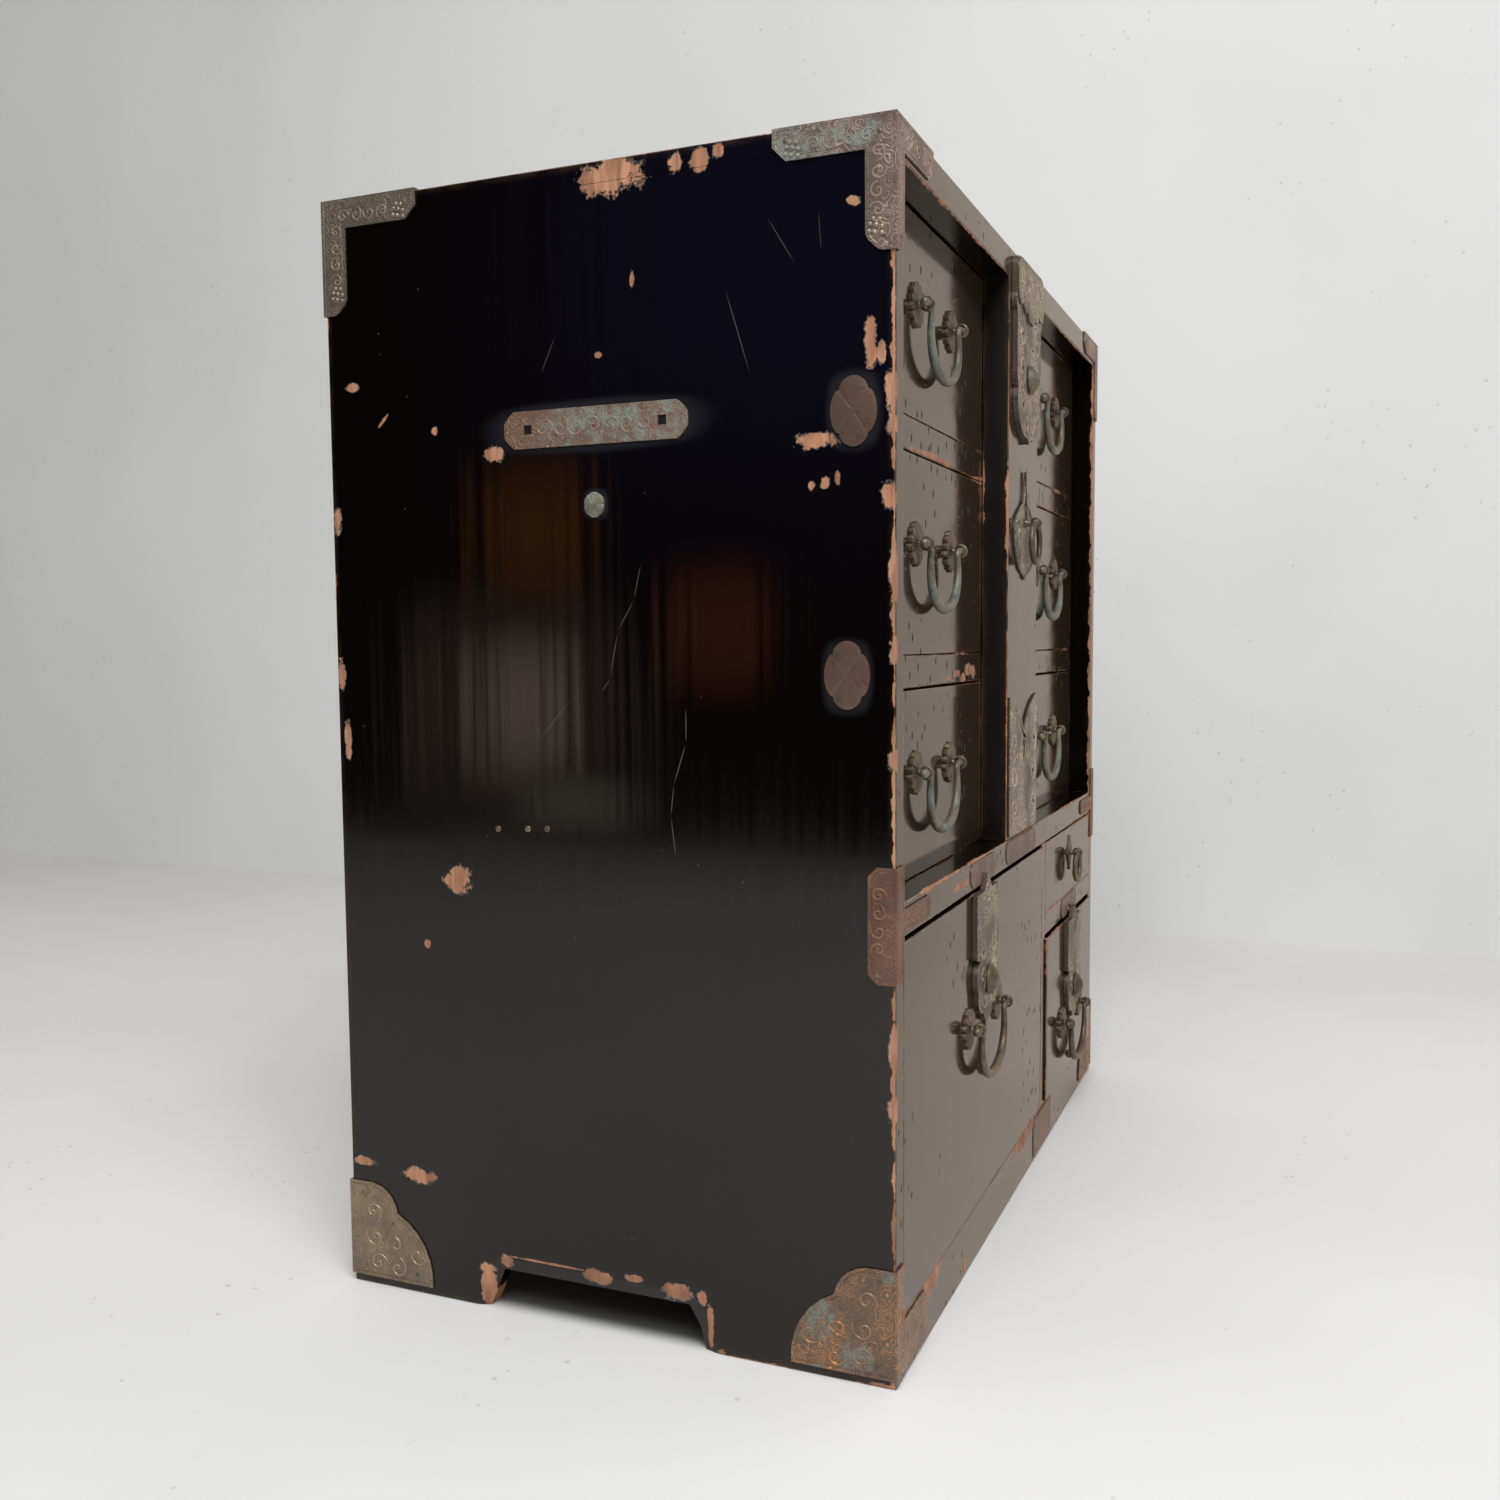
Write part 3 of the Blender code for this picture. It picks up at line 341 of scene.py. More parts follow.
def new_group(name: str, inputs: dict[str, str], outputs: dict[str, str]) -> tuple[Graph, dict, dict]:
    """Starts a shader node group.

    Args:
        name: the group's name.
        inputs: socket name to kind, such as Float.
        outputs: socket name to kind.

    Returns:
        The group's graph, its input sockets by name and its output sockets by name.
    """
    tree = bpy.data.node_groups.new(name, "ShaderNodeTree")
    for label, kind in inputs.items():
        tree.interface.new_socket(label, in_out="INPUT", socket_type=f"NodeSocket{kind}")
    for label, kind in outputs.items():
        tree.interface.new_socket(label, in_out="OUTPUT", socket_type=f"NodeSocket{kind}")
    graph = Graph(tree)
    entry = graph.add("NodeGroupInput")
    leave = graph.add("NodeGroupOutput")
    found = {label: entry.outputs[label] for label in inputs}
    made = {label: leave.inputs[label] for label in outputs}
    return graph, found, made


def edge_wear_group() -> Tree:
    """Builds the wear along the edges of a board, from its lowest and highest corners.

    Returns:
        A group: Chip is where the lacquer is off, Rub where it is thin and Line a fine rubbed arris.
    """
    inputs = {"Low": "Vector", "High": "Vector", "Reach": "Float", "Front": "Float"}
    outputs = {"Chip": "Float", "Rub": "Float", "Line": "Float"}
    graph, given, out = new_group("edge_wear", inputs, outputs)
    place = graph.place()
    from_low = graph.vector("SUBTRACT", place, given["Low"])
    from_high = graph.vector("SUBTRACT", given["High"], place)
    x, y, z = graph.split(graph.vector("ABSOLUTE", graph.vector("MINIMUM", from_low, from_high)))
    lesser, greater = graph.math("MINIMUM", x, y), graph.math("MAXIMUM", x, y)
    to_edge = graph.math("MAXIMUM", lesser, graph.math("MINIMUM", greater, z))
    depth = graph.split(from_low)[1]
    near_front = graph.times(given["Front"], graph.fall(depth, 0.006, 0.018))
    on_front = graph.times(given["Front"], graph.fall(depth, 0.0003, 0.0012))
    cluster = graph.rise(graph.noise(place, 9.0, 2.0), 0.44, 0.72)
    cluster = graph.math("MAXIMUM", cluster, graph.times(near_front, 0.8))
    ragged = graph.noise(place, 60.0, 4.0)
    reach = graph.times(given["Reach"], graph.scaled(cluster, 0.9, 0.1))
    reach = graph.times(reach, graph.scaled(on_front, -0.75, 1.0))
    reach = graph.times(reach, graph.scaled(ragged, 3.4, -0.8))
    wander = graph.scaled(graph.noise(place, 260.0, 4.0), 0.0030, -0.0015)
    over = graph.math("SUBTRACT", reach, graph.math("ADD", to_edge, wander))
    graph.put(out["Chip"], graph.rise(over, 0.0, 0.0003))
    graph.put(out["Rub"], graph.times(graph.fall(to_edge, 0.0, 0.007), graph.rise(ragged, 0.3, 0.7)))
    broken = graph.rise(graph.noise(place, 35.0, 3.0), 0.36, 0.56)
    graph.put(out["Line"], graph.times(graph.fall(to_edge, 0.0004, 0.0014), broken))
    return graph.tree


def lacquer_group() -> Tree:
    """Builds black lacquer: brushed streaks, dust, and on the front a dull skin with flecks.

    Returns:
        A group: Colour, Roughness, Height and the streaks by themselves.
    """
    inputs = {"Streak": "Vector", "Front": "Float", "Gloss": "Float", "Dull": "Float", "Nicks": "Float"}
    outputs = {"Colour": "Color", "Roughness": "Float", "Height": "Float", "Streaks": "Float"}
    graph, given, out = new_group("lacquer_skin", inputs, outputs)
    tones = LACQUER_TONES
    place = graph.place()
    streak = graph.noise(graph.vector("MULTIPLY", place, given["Streak"]), 1.0, 5.0)
    cloud = graph.noise(place, 7.0, 4.0)
    dust = graph.noise(place, 380.0, 2.0)
    deep = graph.mix(cloud, tones.deep, tones.deep_cloud)
    dull = graph.mix(cloud, tones.dull, tones.dull_cloud)
    dull = graph.mix(graph.times(graph.rise(streak, 0.5, 0.75), 0.35), dull, tones.dull_streak)
    colour = graph.mix(given["Front"], deep, dull)
    few = graph.rise(graph.noise(place, 17.0, 2.0), 0.54, 0.62)
    fleck = graph.times(graph.fall(graph.cells(place, 110.0), 0.08, 0.16), few)
    fleck = graph.times(fleck, given["Front"])
    speck = graph.fall(graph.cells(place, 38.0), 0.012, 0.026)
    pit = graph.times(graph.fall(graph.cells(place, 150.0), 0.05, 0.11), graph.rise(cloud, 0.48, 0.62))
    colour = graph.mix(graph.times(pit, given["Front"]), colour, tones.pit)
    x, _, z = graph.split(place)
    front_place = graph.add("ShaderNodeCombineXYZ")
    graph.put(front_place.inputs["X"], x)
    graph.put(front_place.inputs["Y"], graph.times(z, 0.45))
    scatter = graph.add("ShaderNodeTexVoronoi", voronoi_dimensions="2D")
    scatter.inputs["Scale"].default_value = 70.0
    graph.put(scatter.inputs["Vector"], front_place.outputs["Vector"])
    nick = graph.fall(scatter.outputs["Distance"], 0.05, 0.13)
    often = graph.scaled(given["Nicks"], 0.25, graph.noise(place, 11.0, 2.0))
    nick = graph.times(graph.times(nick, graph.rise(often, 0.56, 0.62)), given["Front"])
    colour = graph.mix(nick, colour, tones.nick)
    colour = graph.mix(graph.times(speck, 0.6), colour, tones.speck)
    colour = graph.mix(graph.times(fleck, 0.75), colour, tones.fleck)
    graph.put(out["Colour"], colour)
    rough = graph.blend(given["Front"], given["Gloss"], given["Dull"])
    rough = graph.scaled(graph.math("SUBTRACT", streak, 0.5), 0.14, rough)
    rough = graph.scaled(graph.rise(dust, 0.62, 0.8), 0.10, rough)
    rough = graph.scaled(nick, 0.5, rough)
    graph.put(out["Roughness"], graph.scaled(fleck, 0.3, rough))
    wave = graph.scaled(graph.noise(place, 14.0, 2.0), 0.15, graph.times(streak, 0.03))
    sunk = graph.scaled(graph.times(pit, given["Front"]), -0.8, wave)
    sunk = graph.scaled(nick, -1.2, sunk)
    graph.put(out["Height"], graph.scaled(dust, 0.02, sunk))
    graph.put(out["Streaks"], streak)
    return graph.tree


def bare_wood_group() -> Tree:
    """Builds wood with fine straight grain along its stretched axis.

    Returns:
        A group: Colour and Height.
    """
    inputs = {"Grain": "Vector", "Pale": "Color", "Dark": "Color"}
    outputs = {"Colour": "Color", "Height": "Float"}
    graph, given, out = new_group("bare_wood", inputs, outputs)
    place = graph.place()
    fibre = graph.noise(graph.vector("MULTIPLY", place, given["Grain"]), 1.0, 6.0, 0.4)
    stain = graph.noise(place, 6.0, 3.0)
    colour = graph.mix(graph.rise(fibre, 0.3, 0.7), given["Pale"], given["Dark"])
    colour = graph.mix(graph.times(graph.rise(stain, 0.45, 0.8), 0.5), colour, given["Dark"])
    graph.put(out["Colour"], colour)
    graph.put(out["Height"], fibre)
    return graph.tree


def chasing_group() -> Tree:
    """Builds chased ornament: curled lines round scattered middles, with a ground of punched dots.

    Returns:
        A group: Height and Line, where the curled lines are.
    """
    inputs = {"Amount": "Float"}
    graph, given, out = new_group("chasing", inputs, {"Height": "Float", "Line": "Float"})
    place = graph.place()
    stirred = graph.add("ShaderNodeTexNoise")
    graph.put(stirred.inputs["Vector"], place)
    stirred.inputs["Scale"].default_value = 90.0
    bend = graph.vector("MULTIPLY", stirred.outputs["Color"], (0.006, 0.006, 0.006))
    bent = graph.vector("ADD", place, bend)
    ring = graph.math("SINE", graph.times(graph.cells(bent, 105.0), 26.0))
    line = graph.rise(ring, 0.45, 0.9)
    dot = graph.fall(graph.cells(place, 520.0), 0.16, 0.34)
    ground = graph.times(dot, graph.fall(ring, -0.6, 0.2))
    height = graph.scaled(ground, 0.55, line)
    graph.put(out["Height"], graph.times(height, given["Amount"]))
    graph.put(out["Line"], graph.times(line, given["Amount"]))
    return graph.tree


def patina_group() -> Tree:
    """Builds old copper alloy: brown skin, dark grime, rubbed highlights and green patches.

    Returns:
        A group: Colour, Roughness, Metallic and Height.
    """
    inputs = {"Metal": "Color", "Skin": "Color", "Worn": "Color"}
    inputs |= {"Green": "Float", "Spot": "Float", "Line": "Float"}
    outputs = {"Colour": "Color", "Roughness": "Float", "Metallic": "Float", "Height": "Float"}
    graph, given, out = new_group("patina", inputs, outputs)
    place = graph.place()
    broad = graph.noise(place, 26.0, 4.0)
    small = graph.noise(place, 130.0, 4.0)
    fine = graph.noise(place, 620.0, 2.0)
    rubbed = graph.rise(graph.scaled(small, 0.5, graph.times(broad, 0.5)), 0.42, 0.62)
    colour = graph.mix(rubbed, given["Skin"], given["Metal"])
    grime = graph.rise(graph.scaled(fine, 0.4, graph.times(small, 0.6)), 0.5, 0.66)
    colour = graph.mix(graph.times(grime, 0.45), colour, PATINA_TONES.grime)
    worn = graph.times(given["Line"], graph.rise(broad, 0.34, 0.56))
    colour = graph.mix(graph.times(worn, 0.85), colour, given["Worn"])
    patch = graph.noise(graph.vector("ADD", place, (0.31, 0.17, 0.05)), 34.0, 5.0)
    patch = graph.scaled(fine, 0.1, patch)
    level = graph.scaled(given["Green"], -0.34, 0.74)
    green = graph.rise(patch, level, graph.math("ADD", level, 0.22))
    spot = graph.times(given["Spot"], graph.rise(small, 0.30, 0.58))
    green = graph.math("MAXIMUM", green, spot)
    green = graph.times(green, graph.scaled(graph.rise(fine, 0.36, 0.58), 0.5, 0.42))
    verdigris = graph.mix(graph.rise(small, 0.3, 0.7), PATINA_TONES.green, PATINA_TONES.pale_green)
    graph.put(out["Colour"], graph.mix(green, colour, verdigris))
    rough = graph.scaled(small, 0.3, 0.28)
    graph.put(out["Roughness"], graph.scaled(green, 0.3, rough))
    bare = graph.scaled(rubbed, 0.35, 0.35)
    graph.put(out["Metallic"], graph.times(bare, graph.math("SUBTRACT", 1.0, green)))
    graph.put(out["Height"], graph.scaled(green, 0.5, graph.times(small, 0.4)))
    return graph.tree


@dataclass(frozen=True)
class Effects:
    """The shared effects, each built once."""

    edge_wear: Tree
    lacquer: Tree
    bare_wood: Tree
    chasing: Tree
    patina: Tree


EFFECTS = Effects(edge_wear_group(), lacquer_group(), bare_wood_group(), chasing_group(), patina_group())


def new_material(name: str) -> tuple[Material, Graph, Node]:
    """Starts a node material.

    Args:
        name: the material's name.

    Returns:
        The material, its graph and its Principled shader.
    """
    made = bpy.data.materials.new(name)
    made.use_nodes = True
    return made, Graph(made.node_tree), made.node_tree.nodes["Principled BSDF"]


def add_bump(graph: Graph, shader: Node, height: Value, distance: float) -> None:
    """Turns a height into the shader's normal.

    Args:
        graph: the material's graph.
        shader: its shader.
        height: the height.
        distance: how far a height of 1 rises.
    """
    bump = graph.add("ShaderNodeBump")
    bump.inputs["Distance"].default_value = distance
    graph.put(bump.inputs["Height"], height)
    graph.put(shader.inputs["Normal"], bump.outputs["Normal"])


@dataclass(frozen=True)
class Mark:
    """A mark on an outer face: how far along and up its middle is, and its half sizes.

    Along is back from the front edge on a side, and across from the left edge on the front.
    A turn leans the mark about its middle.
    """

    along: float
    up: float
    half_along: float
    half_up: float
    turn: float = 0.0

    def reach(self, graph: Graph, place: Socket, facing: Facing) -> Socket:
        """How far out a place is from the mark's middle.

        Args:
            graph: the material's graph.
            place: the place on the piece.
            facing: the face that the mark is on.

        Returns:
            A number, 1 at the mark's rim.
        """
        if facing is Facing.SIDE:
            centre = (0.0, FRONT_Y + self.along, self.up)
            spread = (0.0, 1.0 / self.half_along, 1.0 / self.half_up)
            axis = "X_AXIS"
        else:
            centre = (self.along - HALF_W, 0.0, self.up)
            spread = (1.0 / self.half_along, 0.0, 1.0 / self.half_up)
            axis = "Y_AXIS"
        away = graph.vector("SUBTRACT", place, centre)
        if self.turn:
            leaned = graph.add("ShaderNodeVectorRotate", rotation_type=axis)
            graph.put(leaned.inputs["Vector"], away)
            leaned.inputs["Angle"].default_value = self.turn
            away = leaned.outputs["Vector"]
        return graph.vector("LENGTH", graph.vector("MULTIPLY", away, spread))


@dataclass(frozen=True)
class Tint:
    """A soft patch of another colour in a side's lacquer, and how much it follows the brushed streaks.
    Brown patches are stains, and the pale halos sit round fittings; the large blue patch is a painted sheen
    and the grey streaky patches are a painted reflection.
    """

    mark: Mark
    colour: Colour
    streaky: float = 0.0
    core: float = 0.15

    def patch(self, graph: Graph, place: Socket, streaks: Socket) -> Socket:
        """Where the patch is.

        Args:
            graph: the material's graph.
            place: the place on the piece.
            streaks: the brushed streaks.

        Returns:
            A soft mask, with upright edges drawn out along the streaks.
        """
        _, y, z = graph.split(place)
        back = graph.math("ABSOLUTE", graph.math("SUBTRACT", y, FRONT_Y + self.mark.along))
        drawn = graph.times(graph.math("SUBTRACT", streaks, 0.5), 2.8 * self.streaky)
        across = graph.scaled(back, 1.0 / self.mark.half_along, drawn)
        across = graph.math("MAXIMUM", across, 0.0)
        upright = graph.math("ABSOLUTE", graph.math("SUBTRACT", z, self.mark.up))
        upright = graph.times(upright, 1.0 / self.mark.half_up)
        squares = graph.math("ADD", graph.times(across, across), graph.times(upright, upright))
        round_off = graph.math("SQRT", squares)
        square_off = graph.math("SMOOTH_MAX", across, upright, 0.5)
        return graph.fall(graph.blend(0.5, round_off, square_off), self.core, 1.25)


SIDE_CHIPS = (
    Mark(0.2195, 0.8870, 0.0255, 0.0135),
    Mark(0.1663, 0.8908, 0.0056, 0.0077),
    Mark(0.1472, 0.8889, 0.0071, 0.0084),
    Mark(0.1321, 0.8934, 0.0047, 0.0052),
    Mark(0.4592, 0.7516, 0.0075, 0.0040),
    Mark(0.4289, 0.7239, 0.0080, 0.0013, 0.80),
    Mark(0.3800, 0.7116, 0.0028, 0.0035),
    Mark(0.3242, 0.6903, 0.0087, 0.0058),
    Mark(0.0591, 0.6848, 0.0169, 0.0066),
    Mark(0.0617, 0.6536, 0.0030, 0.0035),
    Mark(0.0520, 0.6538, 0.0037, 0.0042),
    Mark(0.0426, 0.6575, 0.0026, 0.0056),
    Mark(0.0182, 0.7460, 0.0047, 0.0180),
    Mark(0.0103, 0.7429, 0.0032, 0.0081),
    Mark(0.0307, 0.8461, 0.0051, 0.0040),
    Mark(0.3679, 0.3553, 0.0130, 0.0110, 0.5),
    Mark(0.3997, 0.2983, 0.0035, 0.0033),
    Mark(0.4139, 0.1013, 0.0177, 0.0062, -0.1),
    Mark(0.4680, 0.1058, 0.0121, 0.0040),
    Mark(0.4778, 0.6441, 0.0041, 0.0102),
    Mark(0.4783, 0.5207, 0.0041, 0.0145),
    Mark(0.4737, 0.4647, 0.0036, 0.0167),
    Mark(0.2026, 0.8111, 0.0020, 0.0070),
    Mark(0.2321, 0.7585, 0.0034, 0.0022),
    Mark(0.3496, 0.0330, 0.0083, 0.0047),
    Mark(0.3307, 0.0405, 0.0067, 0.0063),
    Mark(0.2462, 0.0425, 0.0136, 0.0062),
    Mark(0.2132, 0.0474, 0.0079, 0.0030),
    Mark(0.1768, 0.0414, 0.0138, 0.0080),
    Mark(0.1550, 0.0437, 0.0047, 0.0079),
    Mark(0.1477, 0.0181, 0.0030, 0.0190),
    Mark(0.1383, 0.0013, 0.0050, 0.0036),
    Mark(0.0120, 0.0015, 0.0090, 0.0022),
    Mark(0.2900, 0.0463, 0.0400, 0.0010),
    Mark(0.0030, 0.7148, 0.0046, 0.0120),
    Mark(0.0025, 0.6924, 0.0042, 0.0070),
    Mark(0.0050, 0.6440, 0.0058, 0.0100),
    Mark(0.0010, 0.5888, 0.0046, 0.0190),
    Mark(0.0010, 0.5361, 0.0046, 0.0100),
    Mark(0.0015, 0.4596, 0.0050, 0.0080),
    Mark(0.0010, 0.2520, 0.0046, 0.0180),
    Mark(0.0015, 0.2081, 0.0050, 0.0090),
)
SIDE_BARE = (Mark(0.348, 0.015, 0.0070, 0.0230),)
SIDE_SCRATCHES = (
    Mark(0.1627, 0.4815, 0.0005, 0.0135),
    Mark(0.1680, 0.4526, 0.0006, 0.0170, -0.316),
    Mark(0.1746, 0.4249, 0.0005, 0.0122, -0.118),
    Mark(0.1741, 0.3973, 0.0005, 0.0162, 0.120),
    Mark(0.2016, 0.5891, 0.0004, 0.0142, -0.226),
    Mark(0.2117, 0.5639, 0.0004, 0.0138, -0.545),
    Mark(0.2225, 0.5342, 0.0004, 0.0187, -0.204),
    Mark(0.2298, 0.5111, 0.0004, 0.0064, -0.621),
    Mark(0.2752, 0.4840, 0.0004, 0.0220, -0.727),
    Mark(0.1180, 0.7650, 0.0004, 0.0330, 0.30),
    Mark(0.0840, 0.8250, 0.0003, 0.0210, 0.55),
    Mark(0.2753, 0.7622, 0.0003, 0.0150, -0.45),
    Mark(0.0550, 0.8280, 0.0002, 0.0150, 0.07),
)
PALE_HALO = (0.0150, 0.0150, 0.0190, 1.0)
SIDE_TINTS = (
    # Painted sheen: a large faint blue-violet patch high on the side, standing in for a reflection in the
    # black lacquer.
    Tint(Mark(0.080, 0.840, 0.280, 0.260), (0.0030, 0.0027, 0.0066, 1.0), 0.3),
    Tint(Mark(0.2945, 0.6288, 0.062, 0.068), (0.0215, 0.0078, 0.0013, 1.0), 0.7),
    Tint(Mark(0.133, 0.5524, 0.054, 0.057), (0.0195, 0.0056, 0.0024, 1.0), 0.8),
    # Painted reflection: these three pale grey patches, drawn out along the streaks, stand in for a hazy
    # reflection in the lacquer.
    Tint(Mark(0.315, 0.4900, 0.125, 0.105), (0.0180, 0.0134, 0.0100, 1.0), 0.6),
    Tint(Mark(0.305, 0.4934, 0.052, 0.064), (0.0500, 0.0385, 0.0300, 1.0), 0.9),
    Tint(Mark(0.257, 0.4200, 0.060, 0.026), (0.0240, 0.0205, 0.0165, 1.0), 0.6),
    Tint(Mark(0.2365, 0.7070, 0.0855, 0.0180), PALE_HALO, core=0.85),
    Tint(Mark(0.0304, 0.7036, 0.0185, 0.0256), PALE_HALO, core=0.85),
    Tint(Mark(0.0357, 0.5175, 0.0175, 0.0248), PALE_HALO, core=0.85),
    Tint(Mark(0.2360, 0.6478, 0.0100, 0.0110), PALE_HALO, core=0.85),
)
RAIL_CHIPS = (
    Mark(0.443, 0.046, 0.060, 0.016),
    Mark(0.097, 0.048, 0.028, 0.017),
    Mark(0.200, 0.010, 0.009, 0.005),
)
SHELF_CHIPS = (Mark(0.186, 0.3406, 0.032, 0.0035), Mark(0.2605, 0.3331, 0.030, 0.0040))
ROW_CHIPS = (
    Mark(0.238, 0.5112, 0.011, 0.0028),
    Mark(0.262, 0.5142, 0.014, 0.0034),
    Mark(0.284, 0.5105, 0.012, 0.0040),
    Mark(0.303, 0.5165, 0.013, 0.0062),
    Mark(0.324, 0.5140, 0.011, 0.0078),
    Mark(0.183, 0.6916, 0.070, 0.0040),
)


def mark_depth(
    graph: Graph, place: Socket, marks: Iterable[Mark], facing: Facing, ragged: float
) -> Socket:
    """How far inside the nearest mark a place is, with ragged rims.

    Args:
        graph: the material's graph.
        place: the place on the piece.
        marks: the marks of the board.
        facing: the face that they are on.
        ragged: how far the rims wander.

    Returns:
        A number, 1 in a mark's middle, about 0 at its rim and less outside.
    """
    coarse = graph.math("SUBTRACT", graph.noise(place, 95.0, 3.0), 0.5)
    fine = graph.math("SUBTRACT", graph.noise(place, 430.0, 2.0), 0.5)
    wander = graph.times(graph.scaled(fine, 0.55, coarse), 2.6 * ragged)
    least: Value = 9.0
    for mark in marks:
        least = graph.math("MINIMUM", least, mark.reach(graph, place, facing))
    return graph.math("SUBTRACT", 1.0, graph.math("ADD", least, wander))


@dataclass(frozen=True)
class LacquerFinish:
    """Black lacquer on a board: its brushing, how rough it is, how far chips reach in, and single marks."""

    streak: tuple[float, float, float]
    reach: float
    front_wear: float = 0.0
    gloss: float = 0.12
    dull: float = 0.10
    nicks: float = 0.0
    line: float = 0.6
    facing: Facing = Facing.FRONT
    chips: tuple[Mark, ...] = ()
    bare: tuple[Mark, ...] = ()
    scratches: tuple[Mark, ...] = ()
    tints: tuple[Tint, ...] = ()

    def material(self, name: str, low: Vector, high: Vector) -> Material:
        """The finish of one board.

        Args:
            name: the board's name.
            low: the board's lowest corner.
            high: the board's highest corner.

        Returns:
            The material.
        """
        made, graph, shader = new_material(f"{name}_lacquer")
        place = graph.place()
        x, y, _ = graph.split(place)
        front = graph.fall(graph.math("SUBTRACT", y, low.y), 0.0006, 0.0020)
        face = front
        if self.facing is Facing.SIDE:
            face = graph.rise(graph.math("ABSOLUTE", x), HALF_W - 0.006, HALF_W - 0.004)
        wear = graph.group(
            EFFECTS.edge_wear, low=tuple(low), high=tuple(high), reach=self.reach, front=self.front_wear
        )
        skin = graph.group(
            EFFECTS.lacquer,
            streak=self.streak,
            front=front,
            gloss=self.gloss,
            dull=self.dull,
            nicks=self.nicks,
        )
        wood = graph.group(
            EFFECTS.bare_wood,
            grain=(140.0, 140.0, 25.0),
            pale=LACQUER_TONES.bare_pale,
            dark=LACQUER_TONES.bare_dark,
        )
        colour = self.tinted(graph, place, face, skin)
        rubbed = graph.times(wear.outputs["Rub"], 0.40)
        colour = graph.mix(rubbed, colour, LACQUER_TONES.rubbed)
        colour = graph.mix(graph.times(wear.outputs["Line"], self.line), colour, LACQUER_TONES.arris)
        worn: Value = wear.outputs["Chip"]
        chip = worn
        if self.chips:
            depth = mark_depth(graph, place, self.chips, self.facing, 0.6)
            ground = graph.times(face, graph.rise(depth, -0.08, 0.06))
            colour = graph.mix(graph.times(ground, 0.8), colour, LACQUER_TONES.ground)
            chip = graph.math("MAXIMUM", worn, graph.times(face, graph.rise(depth, 0.08, 0.20)))
        if self.bare:
            depth = mark_depth(graph, place, self.bare, self.facing, 0.3)
            chip = graph.math("MAXIMUM", chip, graph.rise(depth, 0.0, 0.2))
        graph.put(shader.inputs["Base Color"], graph.mix(chip, colour, wood.outputs["Colour"]))
        graph.put(shader.inputs["Roughness"], graph.blend(chip, skin.outputs["Roughness"], BARE_ROUGH))
        grain = graph.times(graph.times(wood.outputs["Height"], worn), 0.8)
        height = graph.math("ADD", graph.scaled(worn, -2.4, grain), skin.outputs["Height"])
        add_bump(graph, shader, height, LACQUER_BUMP)
        shader.inputs["Specular Tint"].default_value = LACQUER_TONES.shine
        return made

    def tinted(self, graph: Graph, place: Socket, face: Socket, skin: Node) -> Socket:
        """The lacquer's colour with its soft patches, among them a painted sheen and a painted reflection,
        and scratches.

        Args:
            graph: the material's graph.
            place: the place on the piece.
            face: where the marked face is.
            skin: the plain lacquer.

        Returns:
            The colour.
        """
        colour = skin.outputs["Colour"]
        for tint in self.tints:
            patch = tint.patch(graph, place, skin.outputs["Streaks"])
            colour = graph.mix(graph.times(patch, face), colour, tint.colour)
        if self.scratches:
            depth = mark_depth(graph, place, self.scratches, self.facing, 0.12)
            lines = graph.times(graph.times(face, graph.rise(depth, 0.0, 0.35)), 0.55)
            colour = graph.mix(lines, colour, LACQUER_TONES.scratch)
        return colour


@dataclass(frozen=True)
class WoodFinish:
    """Unlacquered wood, with its grain along one axis."""

    grain: tuple[float, float, float]
    pale: Colour
    dark: Colour

    def material(self, name: str) -> Material:
        """The finish as a material.

        Args:
            name: the material's name.

        Returns:
            The material.
        """
        made, graph, shader = new_material(name)
        wood = graph.group(EFFECTS.bare_wood, grain=self.grain, pale=self.pale, dark=self.dark)
        graph.put(shader.inputs["Base Color"], wood.outputs["Colour"])
        shader.inputs["Roughness"].default_value = WOOD_ROUGH
        add_bump(graph, shader, wood.outputs["Height"], WOOD_BUMP)
        return made


@dataclass(frozen=True)
class MetalFinish:
    """Old copper alloy: its rubbed, brown and worn colours, how green it is, and what is chased in.

    An edge is the colour of faces that look neither forwards nor back.
    """

    name: str
    metal: Colour
    skin: Colour
    worn: Colour
    green: float
    engraving: Engraving = Engraving.PLAIN
    spots: tuple[Mark, ...] = ()
    edge: Colour | None = None

    def material(self) -> Material:
        """The finish's material, built once.

        Returns:
            The material.
        """
        found = bpy.data.materials.get(self.name)
        if found:
            return found
        made, graph, shader = new_material(self.name)
        chased = graph.group(EFFECTS.chasing, amount=self.engraving.value)
        spot: Value = 0.0
        if self.spots:
            depth = mark_depth(graph, graph.place(), self.spots, Facing.SIDE, 0.4)
            spot = graph.rise(depth, -0.15, 0.3)
        aged = graph.group(
            EFFECTS.patina,
            metal=self.metal,
            skin=self.skin,
            worn=self.worn,
            green=self.green,
            spot=spot,
            line=chased.outputs["Line"],
        )
        colour = aged.outputs["Colour"]
        if self.edge:
            normal = graph.add("ShaderNodeTexCoord").outputs["Normal"]
            forwards = graph.rise(graph.math("ABSOLUTE", graph.split(normal)[1]), 0.3, 0.6)
            colour = graph.mix(forwards, self.edge, colour)
        graph.put(shader.inputs["Base Color"], colour)
        graph.put(shader.inputs["Roughness"], aged.outputs["Roughness"])
        graph.put(shader.inputs["Metallic"], aged.outputs["Metallic"])
        height = graph.scaled(chased.outputs["Height"], 1.6, aged.outputs["Height"])
        add_bump(graph, shader, height, METAL_BUMP)
        return made

    def raised(self) -> "MetalFinish":
        """The same metal where it stands proud: rubbed bright, and paler also as a painted highlight on the
        relief.
        """
        return replace(
            self, name=f"{self.name}_raised", metal=self.worn, skin=self.metal, engraving=Engraving.PLAIN
        )


